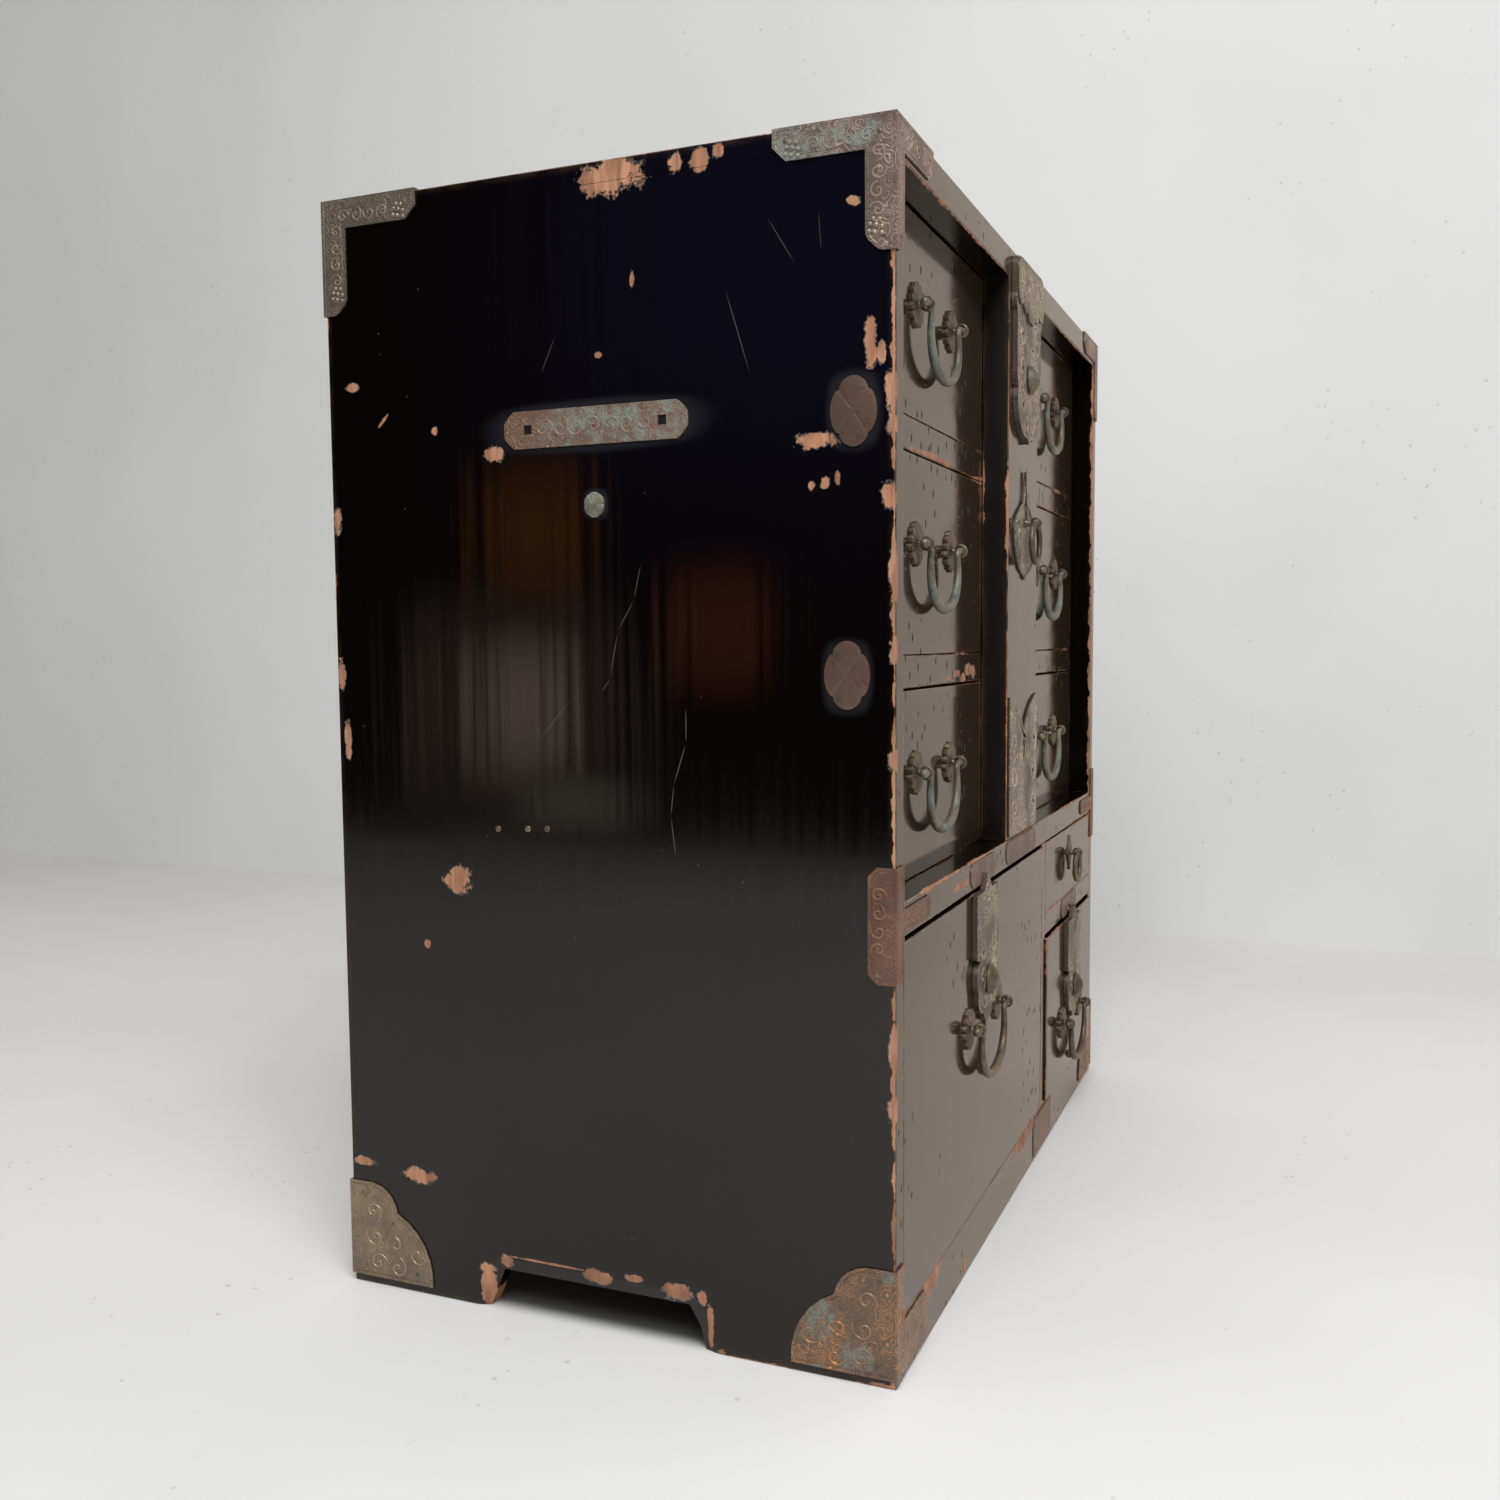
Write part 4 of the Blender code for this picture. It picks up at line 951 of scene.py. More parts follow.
ACROSS = (4.0, 60.0, 60.0)
UPRIGHT = (150.0, 150.0, 2.6)
FAR_SIDE_CHIPS = SIDE_CHIPS[:1] + SIDE_CHIPS[14:22]
TOP_CHIPS = SIDE_CHIPS[:4]
# The top has only the side's first patch, the painted blue sheen.
TOP_PAINTED_SHEEN = SIDE_TINTS[:1]
SIDE_LACQUER = LacquerFinish(
    UPRIGHT,
    0.0034,
    1.0,
    line=0.3,
    facing=Facing.SIDE,
    chips=SIDE_CHIPS,
    bare=SIDE_BARE,
    scratches=SIDE_SCRATCHES,
    tints=SIDE_TINTS,
)
FAR_SIDE_LACQUER = LacquerFinish(UPRIGHT, 0.0034, 1.0, line=0.3, facing=Facing.SIDE, chips=FAR_SIDE_CHIPS)
TOP_LACQUER = LacquerFinish(ACROSS, 0.0036, 0.4, facing=Facing.SIDE, chips=TOP_CHIPS, tints=TOP_PAINTED_SHEEN)
FRONT_LACQUER = LacquerFinish(ACROSS, 0.0024)
RAIL_LACQUER = LacquerFinish(ACROSS, 0.0040, line=0.9, chips=RAIL_CHIPS)
SHELF_LACQUER = LacquerFinish(ACROSS, 0.0036, line=0.9, chips=SHELF_CHIPS)
ROW_LACQUER = LacquerFinish(ACROSS, 0.0042, nicks=1.0, line=1.0, chips=ROW_CHIPS)
POST_LACQUER = LacquerFinish((60.0, 60.0, 4.0), 0.0030, gloss=0.42, line=0.9)
TRAY_WOOD = WoodFinish((120.0, 6.0, 90.0), (0.52, 0.38, 0.25, 1.0), (0.33, 0.22, 0.13, 1.0))
BACK_WOOD = WoodFinish((110.0, 90.0, 5.0), (0.30, 0.20, 0.125, 1.0), (0.16, 0.095, 0.055, 1.0))

PALE_WORN = (0.52, 0.48, 0.41, 1.0)
LOCK_WORN = (0.66, 0.58, 0.45, 1.0)
ORANGE_WORN = (0.58, 0.25, 0.10, 1.0)
FOOT_GREENS = (
    Mark(0.0581, 0.0442, 0.0122, 0.0176),
    Mark(0.0294, 0.0192, 0.0158, 0.0129),
    Mark(0.0056, 0.0843, 0.0057, 0.0056),
    Mark(0.0594, 0.0060, 0.0087, 0.0035),
)
GREEN_BRONZE = MetalFinish(
    "green_bronze", (0.30, 0.25, 0.18, 1.0), (0.130, 0.110, 0.082, 1.0), PALE_WORN, 0.98
)
BROWN_BRONZE = MetalFinish(
    "brown_bronze", (0.23, 0.175, 0.11, 1.0), (0.088, 0.065, 0.044, 1.0), PALE_WORN, 0.16
)
LOCK_BRONZE = MetalFinish(
    "lock_bronze",
    (0.30, 0.250, 0.180, 1.0),
    (0.105, 0.086, 0.060, 1.0),
    LOCK_WORN,
    0.14,
    Engraving.SCROLLS,
    edge=(0.100, 0.074, 0.054, 1.0),
)
RAIL_COPPER = MetalFinish(
    "rail_copper",
    (0.265, 0.180, 0.132, 1.0),
    (0.130, 0.084, 0.060, 1.0),
    (0.36, 0.26, 0.19, 1.0),
    0.05,
    Engraving.FAINT,
)
BROWN_COPPER = MetalFinish(
    "brown_copper",
    (0.33, 0.235, 0.195, 1.0),
    (0.165, 0.116, 0.100, 1.0),
    (0.50, 0.39, 0.32, 1.0),
    0.10,
    Engraving.SCROLLS,
    (Mark(0.060, 0.8900, 0.052, 0.0150),),
)
REAR_COPPER = MetalFinish(
    "rear_copper",
    (0.23, 0.185, 0.145, 1.0),
    (0.120, 0.098, 0.078, 1.0),
    (0.42, 0.33, 0.24, 1.0),
    0.22,
    Engraving.FAINT,
)
RED_COPPER = MetalFinish(
    "red_copper",
    (0.275, 0.147, 0.095, 1.0),
    (0.145, 0.071, 0.047, 1.0),
    (0.34, 0.19, 0.130, 1.0),
    0.0,
    Engraving.FAINT,
)
FOOT_COPPER = MetalFinish(
    "foot_copper",
    (0.29, 0.19, 0.125, 1.0),
    (0.145, 0.100, 0.070, 1.0),
    ORANGE_WORN,
    0.12,
    Engraving.SCROLLS,
    FOOT_GREENS,
)
OLIVE_COPPER = MetalFinish(
    "olive_copper",
    (0.34, 0.25, 0.155, 1.0),
    (0.190, 0.140, 0.092, 1.0),
    (0.44, 0.34, 0.23, 1.0),
    0.0,
    Engraving.FAINT,
)
GRIP_COPPER = MetalFinish(
    "grip_copper",
    (0.36, 0.205, 0.135, 1.0),
    (0.205, 0.122, 0.086, 1.0),
    (0.36, 0.25, 0.18, 1.0),
    0.15,
    Engraving.SCROLLS,
    (
        Mark(0.2480, 0.7060, 0.0330, 0.0190),
        Mark(0.2154, 0.7080, 0.0560, 0.0190),
        Mark(0.1750, 0.7100, 0.0330, 0.0190),
    ),
)
COVER_COPPER = MetalFinish(
    "cover_copper", (0.185, 0.110, 0.084, 1.0), (0.118, 0.074, 0.059, 1.0), (0.34, 0.25, 0.20, 1.0), 0.0
)
IRON_NAIL = MetalFinish(
    "nail_head", (0.27, 0.20, 0.14, 1.0), (0.095, 0.070, 0.052, 1.0), PALE_WORN, 0.15
)
# Painted shade: the keyhole's floor is near black, where the hole's depth would be dark.
PAINTED_KEYHOLE_SHADE = MetalFinish(
    "painted_keyhole_shade", (0.012, 0.010, 0.008, 1.0), (0.006, 0.005, 0.004, 1.0), (0.02, 0.02, 0.02, 1.0), 0.0
)

RAIL_PLATE_T = 0.0010
RAIL_PLATE_EASE = 0.0003
RAIL_PLATE_HALF_H = 0.0110
RAIL_PLATE_DROP = 0.0128
SCROLL_STEPS = 26
SCROLL_TURNS = 1.4

UPWARDS = (2, 1)
FORWARDS = (1, -1)
ON_FRONT = Matrix(((1, 0, 0), (0, 0, -1), (0, 1, 0))).to_4x4()
ON_SIDE = {
    Side.LEFT: Matrix(((0, 0, -1), (-1, 0, 0), (0, 1, 0))).to_4x4(),
    Side.RIGHT: Matrix(((0, 0, 1), (1, 0, 0), (0, 1, 0))).to_4x4(),
}


def weigh_normals(mesh: bpy.types.Mesh, sharp_deg: float) -> None:
    """Leans each corner's normal to the larger faces there, so that flat faces look flat.

    Args:
        mesh: the mesh.
        sharp_deg: faces that differ more than this are not blended.
    """
    limit = math.cos(math.radians(sharp_deg))
    faces = [(face.normal.copy(), face.area * 1e6) for face in mesh.polygons]
    around: list[list[int]] = [[] for _ in mesh.vertices]
    for index, face in enumerate(mesh.polygons):
        for vert in face.vertices:
            around[vert].append(index)
    normals = []
    for index, face in enumerate(mesh.polygons):
        own = faces[index][0]
        for vert in face.vertices:
            near = [faces[other] for other in around[vert]]
            lean = sum((normal * area for normal, area in near if normal.dot(own) > limit), Vector())
            normals.append(lean.normalized() if lean.length else own)
    mesh.normals_split_custom_set(normals)


def add_piece(
    shape: Shape,
    name: str,
    material: Material,
    body: str,
    stands_for: Sequence[str] = (),
    sharp_deg: float = 34.0,
) -> bpy.types.Object:
    """Turns a finished shape into a piece that rides on a body.

    Args:
        shape: the shape, in place. It is freed.
        name: the piece's name.
        material: its finish.
        body: the body that it moves with.
        stands_for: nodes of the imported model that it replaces.
        sharp_deg: edges sharper than this stay sharp.

    Returns:
        The piece.
    """
    mesh = bpy.data.meshes.new(name)
    shape.to_mesh(mesh)
    shape.free()
    mesh.shade_smooth()
    mesh.set_sharp_from_angle(angle=math.radians(sharp_deg))
    weigh_normals(mesh, sharp_deg)
    mesh.materials.append(material)
    piece = bpy.data.objects.new(name, mesh)
    bpy.context.scene.collection.objects.link(piece)
    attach(piece, body)
    if stands_for:
        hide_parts(*stands_for)
    LOG.info("piece %s on %s, %d faces", name, body, len(mesh.polygons))
    return piece


def dress_node(node: str, material: Material) -> None:
    """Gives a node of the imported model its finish.

    Args:
        node: the node's name.
        material: the finish.
    """
    data = frame["nodes"][node].data
    data.materials.clear()
    data.materials.append(material)
    LOG.info("node %s dressed in %s", node, material.name)


def add_fitting(shape: Shape, name: str, finish: MetalFinish) -> None:
    """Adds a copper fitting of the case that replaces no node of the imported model."""
    add_piece(shape, name, finish.material(), "case")


def join_shapes(shapes: Iterable[Shape]) -> Shape:
    """Puts several shapes into one.

    Args:
        shapes: the shapes. They are freed.

    Returns:
        The one shape.
    """
    whole = bmesh.new()
    for shape in shapes:
        mesh = bpy.data.meshes.new("part")
        shape.to_mesh(mesh)
        shape.free()
        whole.from_mesh(mesh)
        bpy.data.meshes.remove(mesh)
    return whole


def moved(shape: Shape, matrix: Matrix) -> Shape:
    """Puts a shape in place and returns it."""
    bmesh.ops.transform(shape, matrix=matrix, verts=shape.verts)
    return shape


def on_front(shape: Shape, x: float, y: float, z: float) -> Shape:
    """Lays a flat shape on a front, with its thickness forwards."""
    return moved(shape, Matrix.Translation((x, y, z)) @ ON_FRONT)


def on_side(shape: Shape, side: Side, y: float, z: float, out: float = 0.0) -> Shape:
    """Lays a flat shape on a side of the case, with its thickness outwards."""
    return moved(shape, Matrix.Translation((side.value * (HALF_W + out), y, z)) @ ON_SIDE[side])


def round_edges(shape: Shape, edges: list, offset: float, segments: int) -> None:
    """Rounds the given edges.

    Args:
        shape: the shape.
        edges: its edges to round.
        offset: how far in the rounding starts.
        segments: how many facets it has.
    """
    bmesh.ops.bevel(
        shape,
        geom=edges,
        offset=offset,
        segments=segments,
        profile=0.5,
        affect="EDGES",
        material=-1,
        clamp_overlap=True,
    )


def board_shape(low: Vector, high: Vector, ease: float = 0.0012) -> Shape:
    """A board with rounded arrises.

    Args:
        low: its lowest corner.
        high: its highest corner.
        ease: how far in the rounding starts.

    Returns:
        The shape, in place.
    """
    shape = bmesh.new()
    bmesh.ops.create_cube(shape, size=1.0)
    bmesh.ops.scale(shape, vec=high - low, verts=shape.verts)
    bmesh.ops.translate(shape, vec=(low + high) / 2, verts=shape.verts)
    round_edges(shape, shape.edges[:], ease, 2)
    return shape


def arc(start: Vector, end: Vector, rise: float, steps: int) -> Outline:
    """Points of an arc from start up to, not with, end.

    Args:
        start: the first point.
        end: the last point.
        rise: the arc's height over its chord, to the left of travel, or 0 for a straight line.
        steps: how many points.

    Returns:
        The points.
    """
    if not rise:
        return [start]
    along = (end - start).normalized()
    left = Vector((-along.y, along.x))
    half_angle = 2 * math.atan(2 * abs(rise))
    radius = (end - start).length / 2 / math.sin(half_angle)
    points = []
    for step in range(steps):
        angle = half_angle * (2 * step / steps - 1)
        height = math.copysign(radius * (math.cos(angle) - math.cos(half_angle)), rise)
        points.append((start + end) / 2 + along * radius * math.sin(angle) + left * height)
    return points


def mirrored_outline(right_half: Sequence[tuple[float, float, float]], steps: int = 8) -> Outline:
    """A symmetric outline.

    Args:
        right_half: (across, up, rise) corners of its right half, from the top down.
        steps: how many points each arc has.

    Returns:
        The outline's points.
    """
    points: Outline = []
    for first, second in zip(right_half, right_half[1:]):
        points += arc(Vector(first[:2]), Vector(second[:2]), first[2], steps)
    points.append(Vector(right_half[-1][:2]))
    left = [Vector((-point.x, point.y)) for point in reversed(points) if point.x > 1e-6]
    return points + left


def plate_shape(rims: Sequence[Outline], thickness: float) -> Shape:
    """A flat plate on its XY plane.

    Args:
        rims: its outer rim and those of its holes.
        thickness: how far it rises.

    Returns:
        The shape.
    """
    shape = bmesh.new()
    edges = []
    for rim in rims:
        verts = [shape.verts.new((point.x, point.y, 0.0)) for point in rim]
        edges += [shape.edges.new(pair) for pair in zip(verts, verts[1:] + verts[:1])]
    bmesh.ops.triangle_fill(shape, use_beauty=True, use_dissolve=False, edges=edges)
    risen = bmesh.ops.extrude_face_region(shape, geom=shape.faces[:])
    lifted = [part for part in risen["geom"] if isinstance(part, bmesh.types.BMVert)]
    bmesh.ops.translate(shape, vec=(0, 0, thickness), verts=lifted)
    bmesh.ops.recalc_face_normals(shape, faces=shape.faces)
    bmesh.ops.dissolve_limit(shape, angle_limit=0.01, verts=shape.verts, edges=shape.edges)
    return shape


def faces_at(shape: Shape, axis: int, sign: int) -> list:
    """The faces in the plane furthest out along an axis.

    Args:
        shape: the shape.
        axis: 0, 1 or 2 for X, Y or Z.
        sign: -1 or 1, for which end.

    Returns:
        The faces.
    """
    furthest = max(sign * vert.co[axis] for vert in shape.verts)
    level = furthest - 2e-5
    return [face for face in shape.faces if all(sign * vert.co[axis] > level for vert in face.verts)]


def soften_rim(shape: Shape, faces: list, offset: float, segments: int = 2) -> None:
    """Rounds the outer edges of a set of faces.

    Args:
        shape: the shape.
        faces: the faces.
        offset: how far in the rounding starts.
        segments: how many facets it has.
    """
    chosen = set(faces)
    rim = {edge for face in faces for edge in face.edges if not chosen.issuperset(edge.link_faces)}
    round_edges(shape, list(rim), offset, segments)


@dataclass(frozen=True)
class Border:
    """A groove round a plate: how far in from its rim, how wide and how deep, below 0 for a ridge."""

    margin: float
    width: float
    depth: float

    def cut(self, shape: Shape, faces: list) -> None:
        """Cuts the groove round the inside of a set of faces.

        Args:
            shape: the shape.
            faces: the faces.
        """
        half = self.width / 2
        for inset, sink in ((self.margin, 0.0), (half, -self.depth), (half, self.depth)):
            bmesh.ops.inset_region(shape, faces=faces, use_even_offset=True, thickness=inset, depth=sink)


def node_copy(node: str) -> Shape:
    """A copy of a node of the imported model, with its flat faces whole.

    Args:
        node: the node's name.

    Returns:
        The shape, in place.
    """
    shape = bmesh.new()
    shape.from_mesh(frame["nodes"][node].data)
    bmesh.ops.remove_doubles(shape, verts=shape.verts, dist=2e-5)
    bmesh.ops.dissolve_limit(shape, angle_limit=0.01, verts=shape.verts, edges=shape.edges)
    return shape


def eased_node(node: str, ease: float = 0.0009) -> Shape:
    """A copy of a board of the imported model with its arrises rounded.

    Args:
        node: the node's name.
        ease: how far in the rounding starts.

    Returns:
        The shape, in place.
    """
    shape = node_copy(node)
    sharp = [edge for edge in shape.edges if edge.is_manifold and edge.calc_face_angle(0.0) > 0.5]
    round_edges(shape, sharp, ease, 2)
    bmesh.ops.recalc_face_normals(shape, faces=shape.faces)
    return shape


def spun(shape: Shape, steps: int) -> Shape:
    """Turns a shape's edges once about Z.

    Args:
        shape: a shape of edges only.
        steps: how many facets a turn has.

    Returns:
        The same shape, closed.
    """
    bmesh.ops.spin(
        shape,
        geom=shape.verts[:] + shape.edges[:],
        cent=(0, 0, 0),
        axis=(0, 0, 1),
        dvec=(0, 0, 0),
        angle=2 * math.pi,
        steps=steps,
        use_merge=True,
    )
    bmesh.ops.remove_doubles(shape, verts=shape.verts, dist=1e-6)
    bmesh.ops.recalc_face_normals(shape, faces=shape.faces)
    return shape


def turned_shape(profile: Profile, steps: int) -> Shape:
    """A shape turned about Z.

    Args:
        profile: (radius, height) points, from the axis outwards.
        steps: how many facets a turn has.

    Returns:
        The shape.
    """
    shape = bmesh.new()
    verts = [shape.verts.new((radius, 0.0, height)) for radius, height in profile]
    for pair in zip(verts, verts[1:]):
        shape.edges.new(pair)
    return spun(shape, steps)


def ring_shape(radius: float, wire: float, width: float, steps: int = 48, sides: int = 14) -> Shape:
    """A ring about Z.

    Args:
        radius: the radius of its middle line.
        wire: half its section outwards.
        width: half its section along Z.
        steps: how many facets a turn has.
        sides: how many sides the section has.

    Returns:
        The shape.
    """
    shape = bmesh.new()
    made = bmesh.ops.create_circle(shape, cap_ends=False, segments=sides, radius=1.0)
    section = Matrix.Translation((radius, 0, 0)) @ Matrix.Rotation(math.pi / 2, 4, "X")
    section = section @ Matrix.Diagonal((wire, width, 1.0, 1.0))
    bmesh.ops.transform(shape, matrix=section, verts=made["verts"])
    return spun(shape, steps)


def hung_ring(axis_point: Vector, radius: float, wire: float) -> Shape:
    """A ring that hangs from a point on its axis, flat against the front."""
    middle = Matrix.Translation(axis_point - Vector((0, 0, radius)))
    return moved(ring_shape(radius, wire, wire), middle @ Matrix.Rotation(math.pi / 2, 4, "X"))


def dome_profile(radius: float, height: float, steps: int = 7) -> list[tuple[float, float]]:
    """A quarter ellipse from the top of a dome out to its rim."""
    turns = [math.pi / 2 * step / steps for step in range(steps + 1)]
    return [(radius * math.sin(turn), height * math.cos(turn)) for turn in turns]


def nail_shape(radius: float = 0.0018, height: float = 0.0006) -> Shape:
    """A low domed nail head with its rim sunk."""
    return turned_shape(dome_profile(radius, height, 4) + [(radius, -height)], 12)


def tube_shape(paths: Iterable[Path], roundness: int) -> Shape:
    """Round wires along paths.

    Args:
        paths: each a list of x, y, z and the wire's radius there.
        roundness: how finely the wires are rounded.

    Returns:
        The shape.
    """
    curve = bpy.data.curves.new("wire", "CURVE")
    curve.dimensions = "3D"
    curve.bevel_depth = 1.0
    curve.bevel_resolution = roundness
    curve.use_fill_caps = True
    for path in paths:
        spline = curve.splines.new("POLY")
        spline.points.add(len(path) - 1)
        for knot, (x, y, z, radius) in zip(spline.points, path):
            knot.co = (x, y, z, 1)
            knot.radius = radius
    drawn = bpy.data.objects.new("wire", curve)
    bpy.context.scene.collection.objects.link(drawn)
    depsgraph = bpy.context.evaluated_depsgraph_get()
    mesh = bpy.data.meshes.new_from_object(drawn.evaluated_get(depsgraph))
    shape = bmesh.new()
    shape.from_mesh(mesh)
    bpy.data.objects.remove(drawn)
    bpy.data.curves.remove(curve)
    bpy.data.meshes.remove(mesh)
    bmesh.ops.remove_doubles(shape, verts=shape.verts, dist=1e-6)
    bmesh.ops.recalc_face_normals(shape, faces=shape.faces)
    return shape


@dataclass(frozen=True)
class Scroll:
    """One raised curl on a plate: across, up, its radius, where its tail starts and which way it winds."""

    across: float
    up: float
    radius: float
    tail: float
    hand: int = 1
    wire: float = 0.0009

    def mirrored(self) -> "Scroll":
        """The same curl on the other side of the middle line."""
        return Scroll(-self.across, self.up, self.radius, math.pi - self.tail, -self.hand, self.wire)

    def path(self) -> Path:
        """The curl's points, from its tail in, with the wire's radius at each.

        Returns:
            The points.
        """
        points = []
        for step in range(SCROLL_STEPS + 1):
            share = step / SCROLL_STEPS
            angle = self.tail + self.hand * 2 * math.pi * SCROLL_TURNS * share
            out = self.radius * (1.25 - 1.2 * share ** 0.75)
            wire = self.wire * (0.55 + 0.45 * math.sin(math.pi * min(1.0, share * 1.2)))
            if share > 0.93:
                wire = self.wire * 1.5
            x = self.across + out * math.cos(angle)
            y = self.up + out * math.sin(angle)
            points.append((x, y, 0.0, wire))
        return points


def scroll_shape(scrolls: Iterable[Scroll], mirrored: bool = True) -> Shape:
    """Raised curls on a plate's XY plane, half sunk into it.

    Args:
        scrolls: the curls of its right half.
        mirrored: whether the left half has them too.

    Returns:
        The shape.
    """
    chosen = list(scrolls)
    if mirrored:
        chosen += [scroll.mirrored() for scroll in chosen]
    shape = tube_shape([scroll.path() for scroll in chosen], 1)
    bmesh.ops.scale(shape, vec=(1.0, 1.0, 0.8), verts=shape.verts)
    return shape


@dataclass(frozen=True)
class Flower:
    """A lobed medallion: its half sizes, its lobes, how deep their cusps and how pointed they are.

    A start of 0.5 puts a lobe, and not a cusp, to the right.
    """

    half_across: float
    half_up: float
    lobes: int
    cusp: float
    point: float
    dome: float
    groove: float
    thickness: float
    start: float = 0.0

    def turn(self, angle: float) -> float:
        """How far on from the last cusp a direction is, as a share of a lobe."""
        return (angle * self.lobes / (2 * math.pi) + self.start) % 1.0

    def reach(self, angle: float) -> float:
        """How far out the rim is.

        Args:
            angle: the direction from the middle.

        Returns:
            A share of the half size.
        """
        off = abs(self.turn(angle) - 0.5) * 2
        rounded = math.sqrt(max(0.0, 1 - off * off))
        lobe = (1 - self.point) * rounded + self.point * (1 - off)
        return 1 - self.cusp * (1 - lobe)

    def shape(self) -> Shape:
        """The medallion on its XY plane, with a groove between each two lobes.

        Returns:
            The shape.
        """
        rings = 9
        shares = [step / rings for step in range(rings + 1)]
        profile = [(share, self.thickness + self.dome * (1 - share ** 2)) for share in shares]
        made = turned_shape(profile + [(1.0, 0.0)], self.lobes * 16)
        for vert in made.verts:
            radius = math.hypot(vert.co.x, vert.co.y)
            if radius < 1e-6:
                continue
            angle = math.atan2(vert.co.y, vert.co.x)
            off = min(self.turn(angle), 1 - self.turn(angle))
            if vert.co.z > 0.5 * self.thickness:
                vert.co.z -= self.groove * math.exp(-((off / 0.07) ** 2)) * min(1.0, radius * 3)
                vert.co.z += self.groove * 0.6 * math.exp(-(((radius - 0.86) / 0.06) ** 2))
            share = self.reach(angle)
            vert.co.x *= share * self.half_across
            vert.co.y *= share * self.half_up
        return made


@dataclass(frozen=True)
class PullSizes:
    """Sizes of the pulls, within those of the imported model."""

    spacing: float = 0.104
    eye_reach: float = 0.010
    eye_bore: float = 0.0036
    eye_wall: float = 0.0012
    eye_w: float = 0.0042
    gap: float = 0.0025
    end_r: float = 0.0026
    belly_r: float = 0.0042
    knob_r: float = 0.0040
    drop: float = 0.050
    bend: float = 0.006
    bulge: float = 0.006
    ring_wire: float = 0.0029
    small_ring: float = 0.0155
    bar_ring: float = 0.0185
    stem_r: tuple[float, float, float] = (0.0042, 0.0032, 0.0024)
    striker_r: float = 0.005
    striker_h: float = 0.0046
    lozenge: tuple[float, float] = (0.015, 0.020)
    lozenge_t: float = 0.0018
    lozenge_border: Border = Border(0.0016, 0.0010, 0.0004)


PULL = PullSizes()
ROSETTE = Flower(0.0178, 0.0178, 14, 0.18, 0.40, 0.0012, 0.0009, 0.0024)
SIDE_COVER = Flower(0.0172, 0.0244, 4, 0.13, 0.0, 0.0012, 0.0003, 0.0012, 0.5)
SIDE_BOSS = Flower(0.0086, 0.0096, 6, 0.06, 0.0, 0.0016, 0.0005, 0.0022)


def joint_point(name: str) -> Vector:
    """The point on a joint's axis, at rest."""
    found = next(joint for joint in frame["joints"] if joint["name"] == name)
    return Vector(found["pos_m"])


def post_shape(seat: Vector) -> Shape:
    """A post with its eye, standing out from a face.

    Args:
        seat: where the post meets the face.

    Returns:
        The shape, in place.
    """
    middle_r = PULL.eye_bore + PULL.eye_wall
    eye = ring_shape(middle_r, PULL.eye_wall, PULL.eye_w / 2, 28, 10)
    place = Matrix.Translation(seat - Vector((0, PULL.eye_reach, 0)))
    moved(eye, place @ Matrix.Rotation(math.pi / 2, 4, "Y"))
    reach = PULL.eye_reach - middle_r
    foot_r, waist_r, top_r = PULL.stem_r
    stem = turned_shape([(0, 0), (foot_r, 0), (waist_r, reach * 0.5), (top_r, reach), (0, reach)], 16)
    return join_shapes([eye, on_front(stem, *seat)])


def bail_shape(axis_point: Vector) -> Shape:
    """A hanging bail: knobbed ends through the eyes, a bend, and a thick belly.

    Args:
        axis_point: the middle of its axis.

    Returns:
        The shape, in place.
    """
    eye_x = PULL.spacing / 2
    knob_x = eye_x + PULL.gap + PULL.eye_bore - PULL.end_r
    bend_x = eye_x - PULL.gap - PULL.end_r
    half = []
    for step in range(7):
        turn = math.pi * step / 7
        across = knob_x + PULL.knob_r * (1 + math.cos(turn))
        half.append((across, 0.0, PULL.knob_r * max(0.08, math.sin(turn))))
    half.append((knob_x, 0.0, PULL.end_r))
    for step in range(7):
        turn = math.pi / 2 * step / 6
        across = bend_x - PULL.bend * math.sin(turn)
        half.append((across, PULL.bend * (1 - math.cos(turn)), PULL.end_r))
    for step in range(1, 21):
        turn = math.pi / 2 * step / 20
        across = (bend_x - PULL.bend) * math.cos(turn) + PULL.bulge * math.sin(2 * turn)
        down = PULL.bend + (PULL.drop - PULL.bend) * math.sin(turn)
        half.append((across, down, PULL.end_r + (PULL.belly_r - PULL.end_r) * math.sin(turn)))
    whole = half + [(-across, down, radius) for across, down, radius in reversed(half[:-1])]
    shape = tube_shape([[(across, 0.0, -down, radius) for across, down, radius in whole]], 4)
    return moved(shape, Matrix.Translation(axis_point))


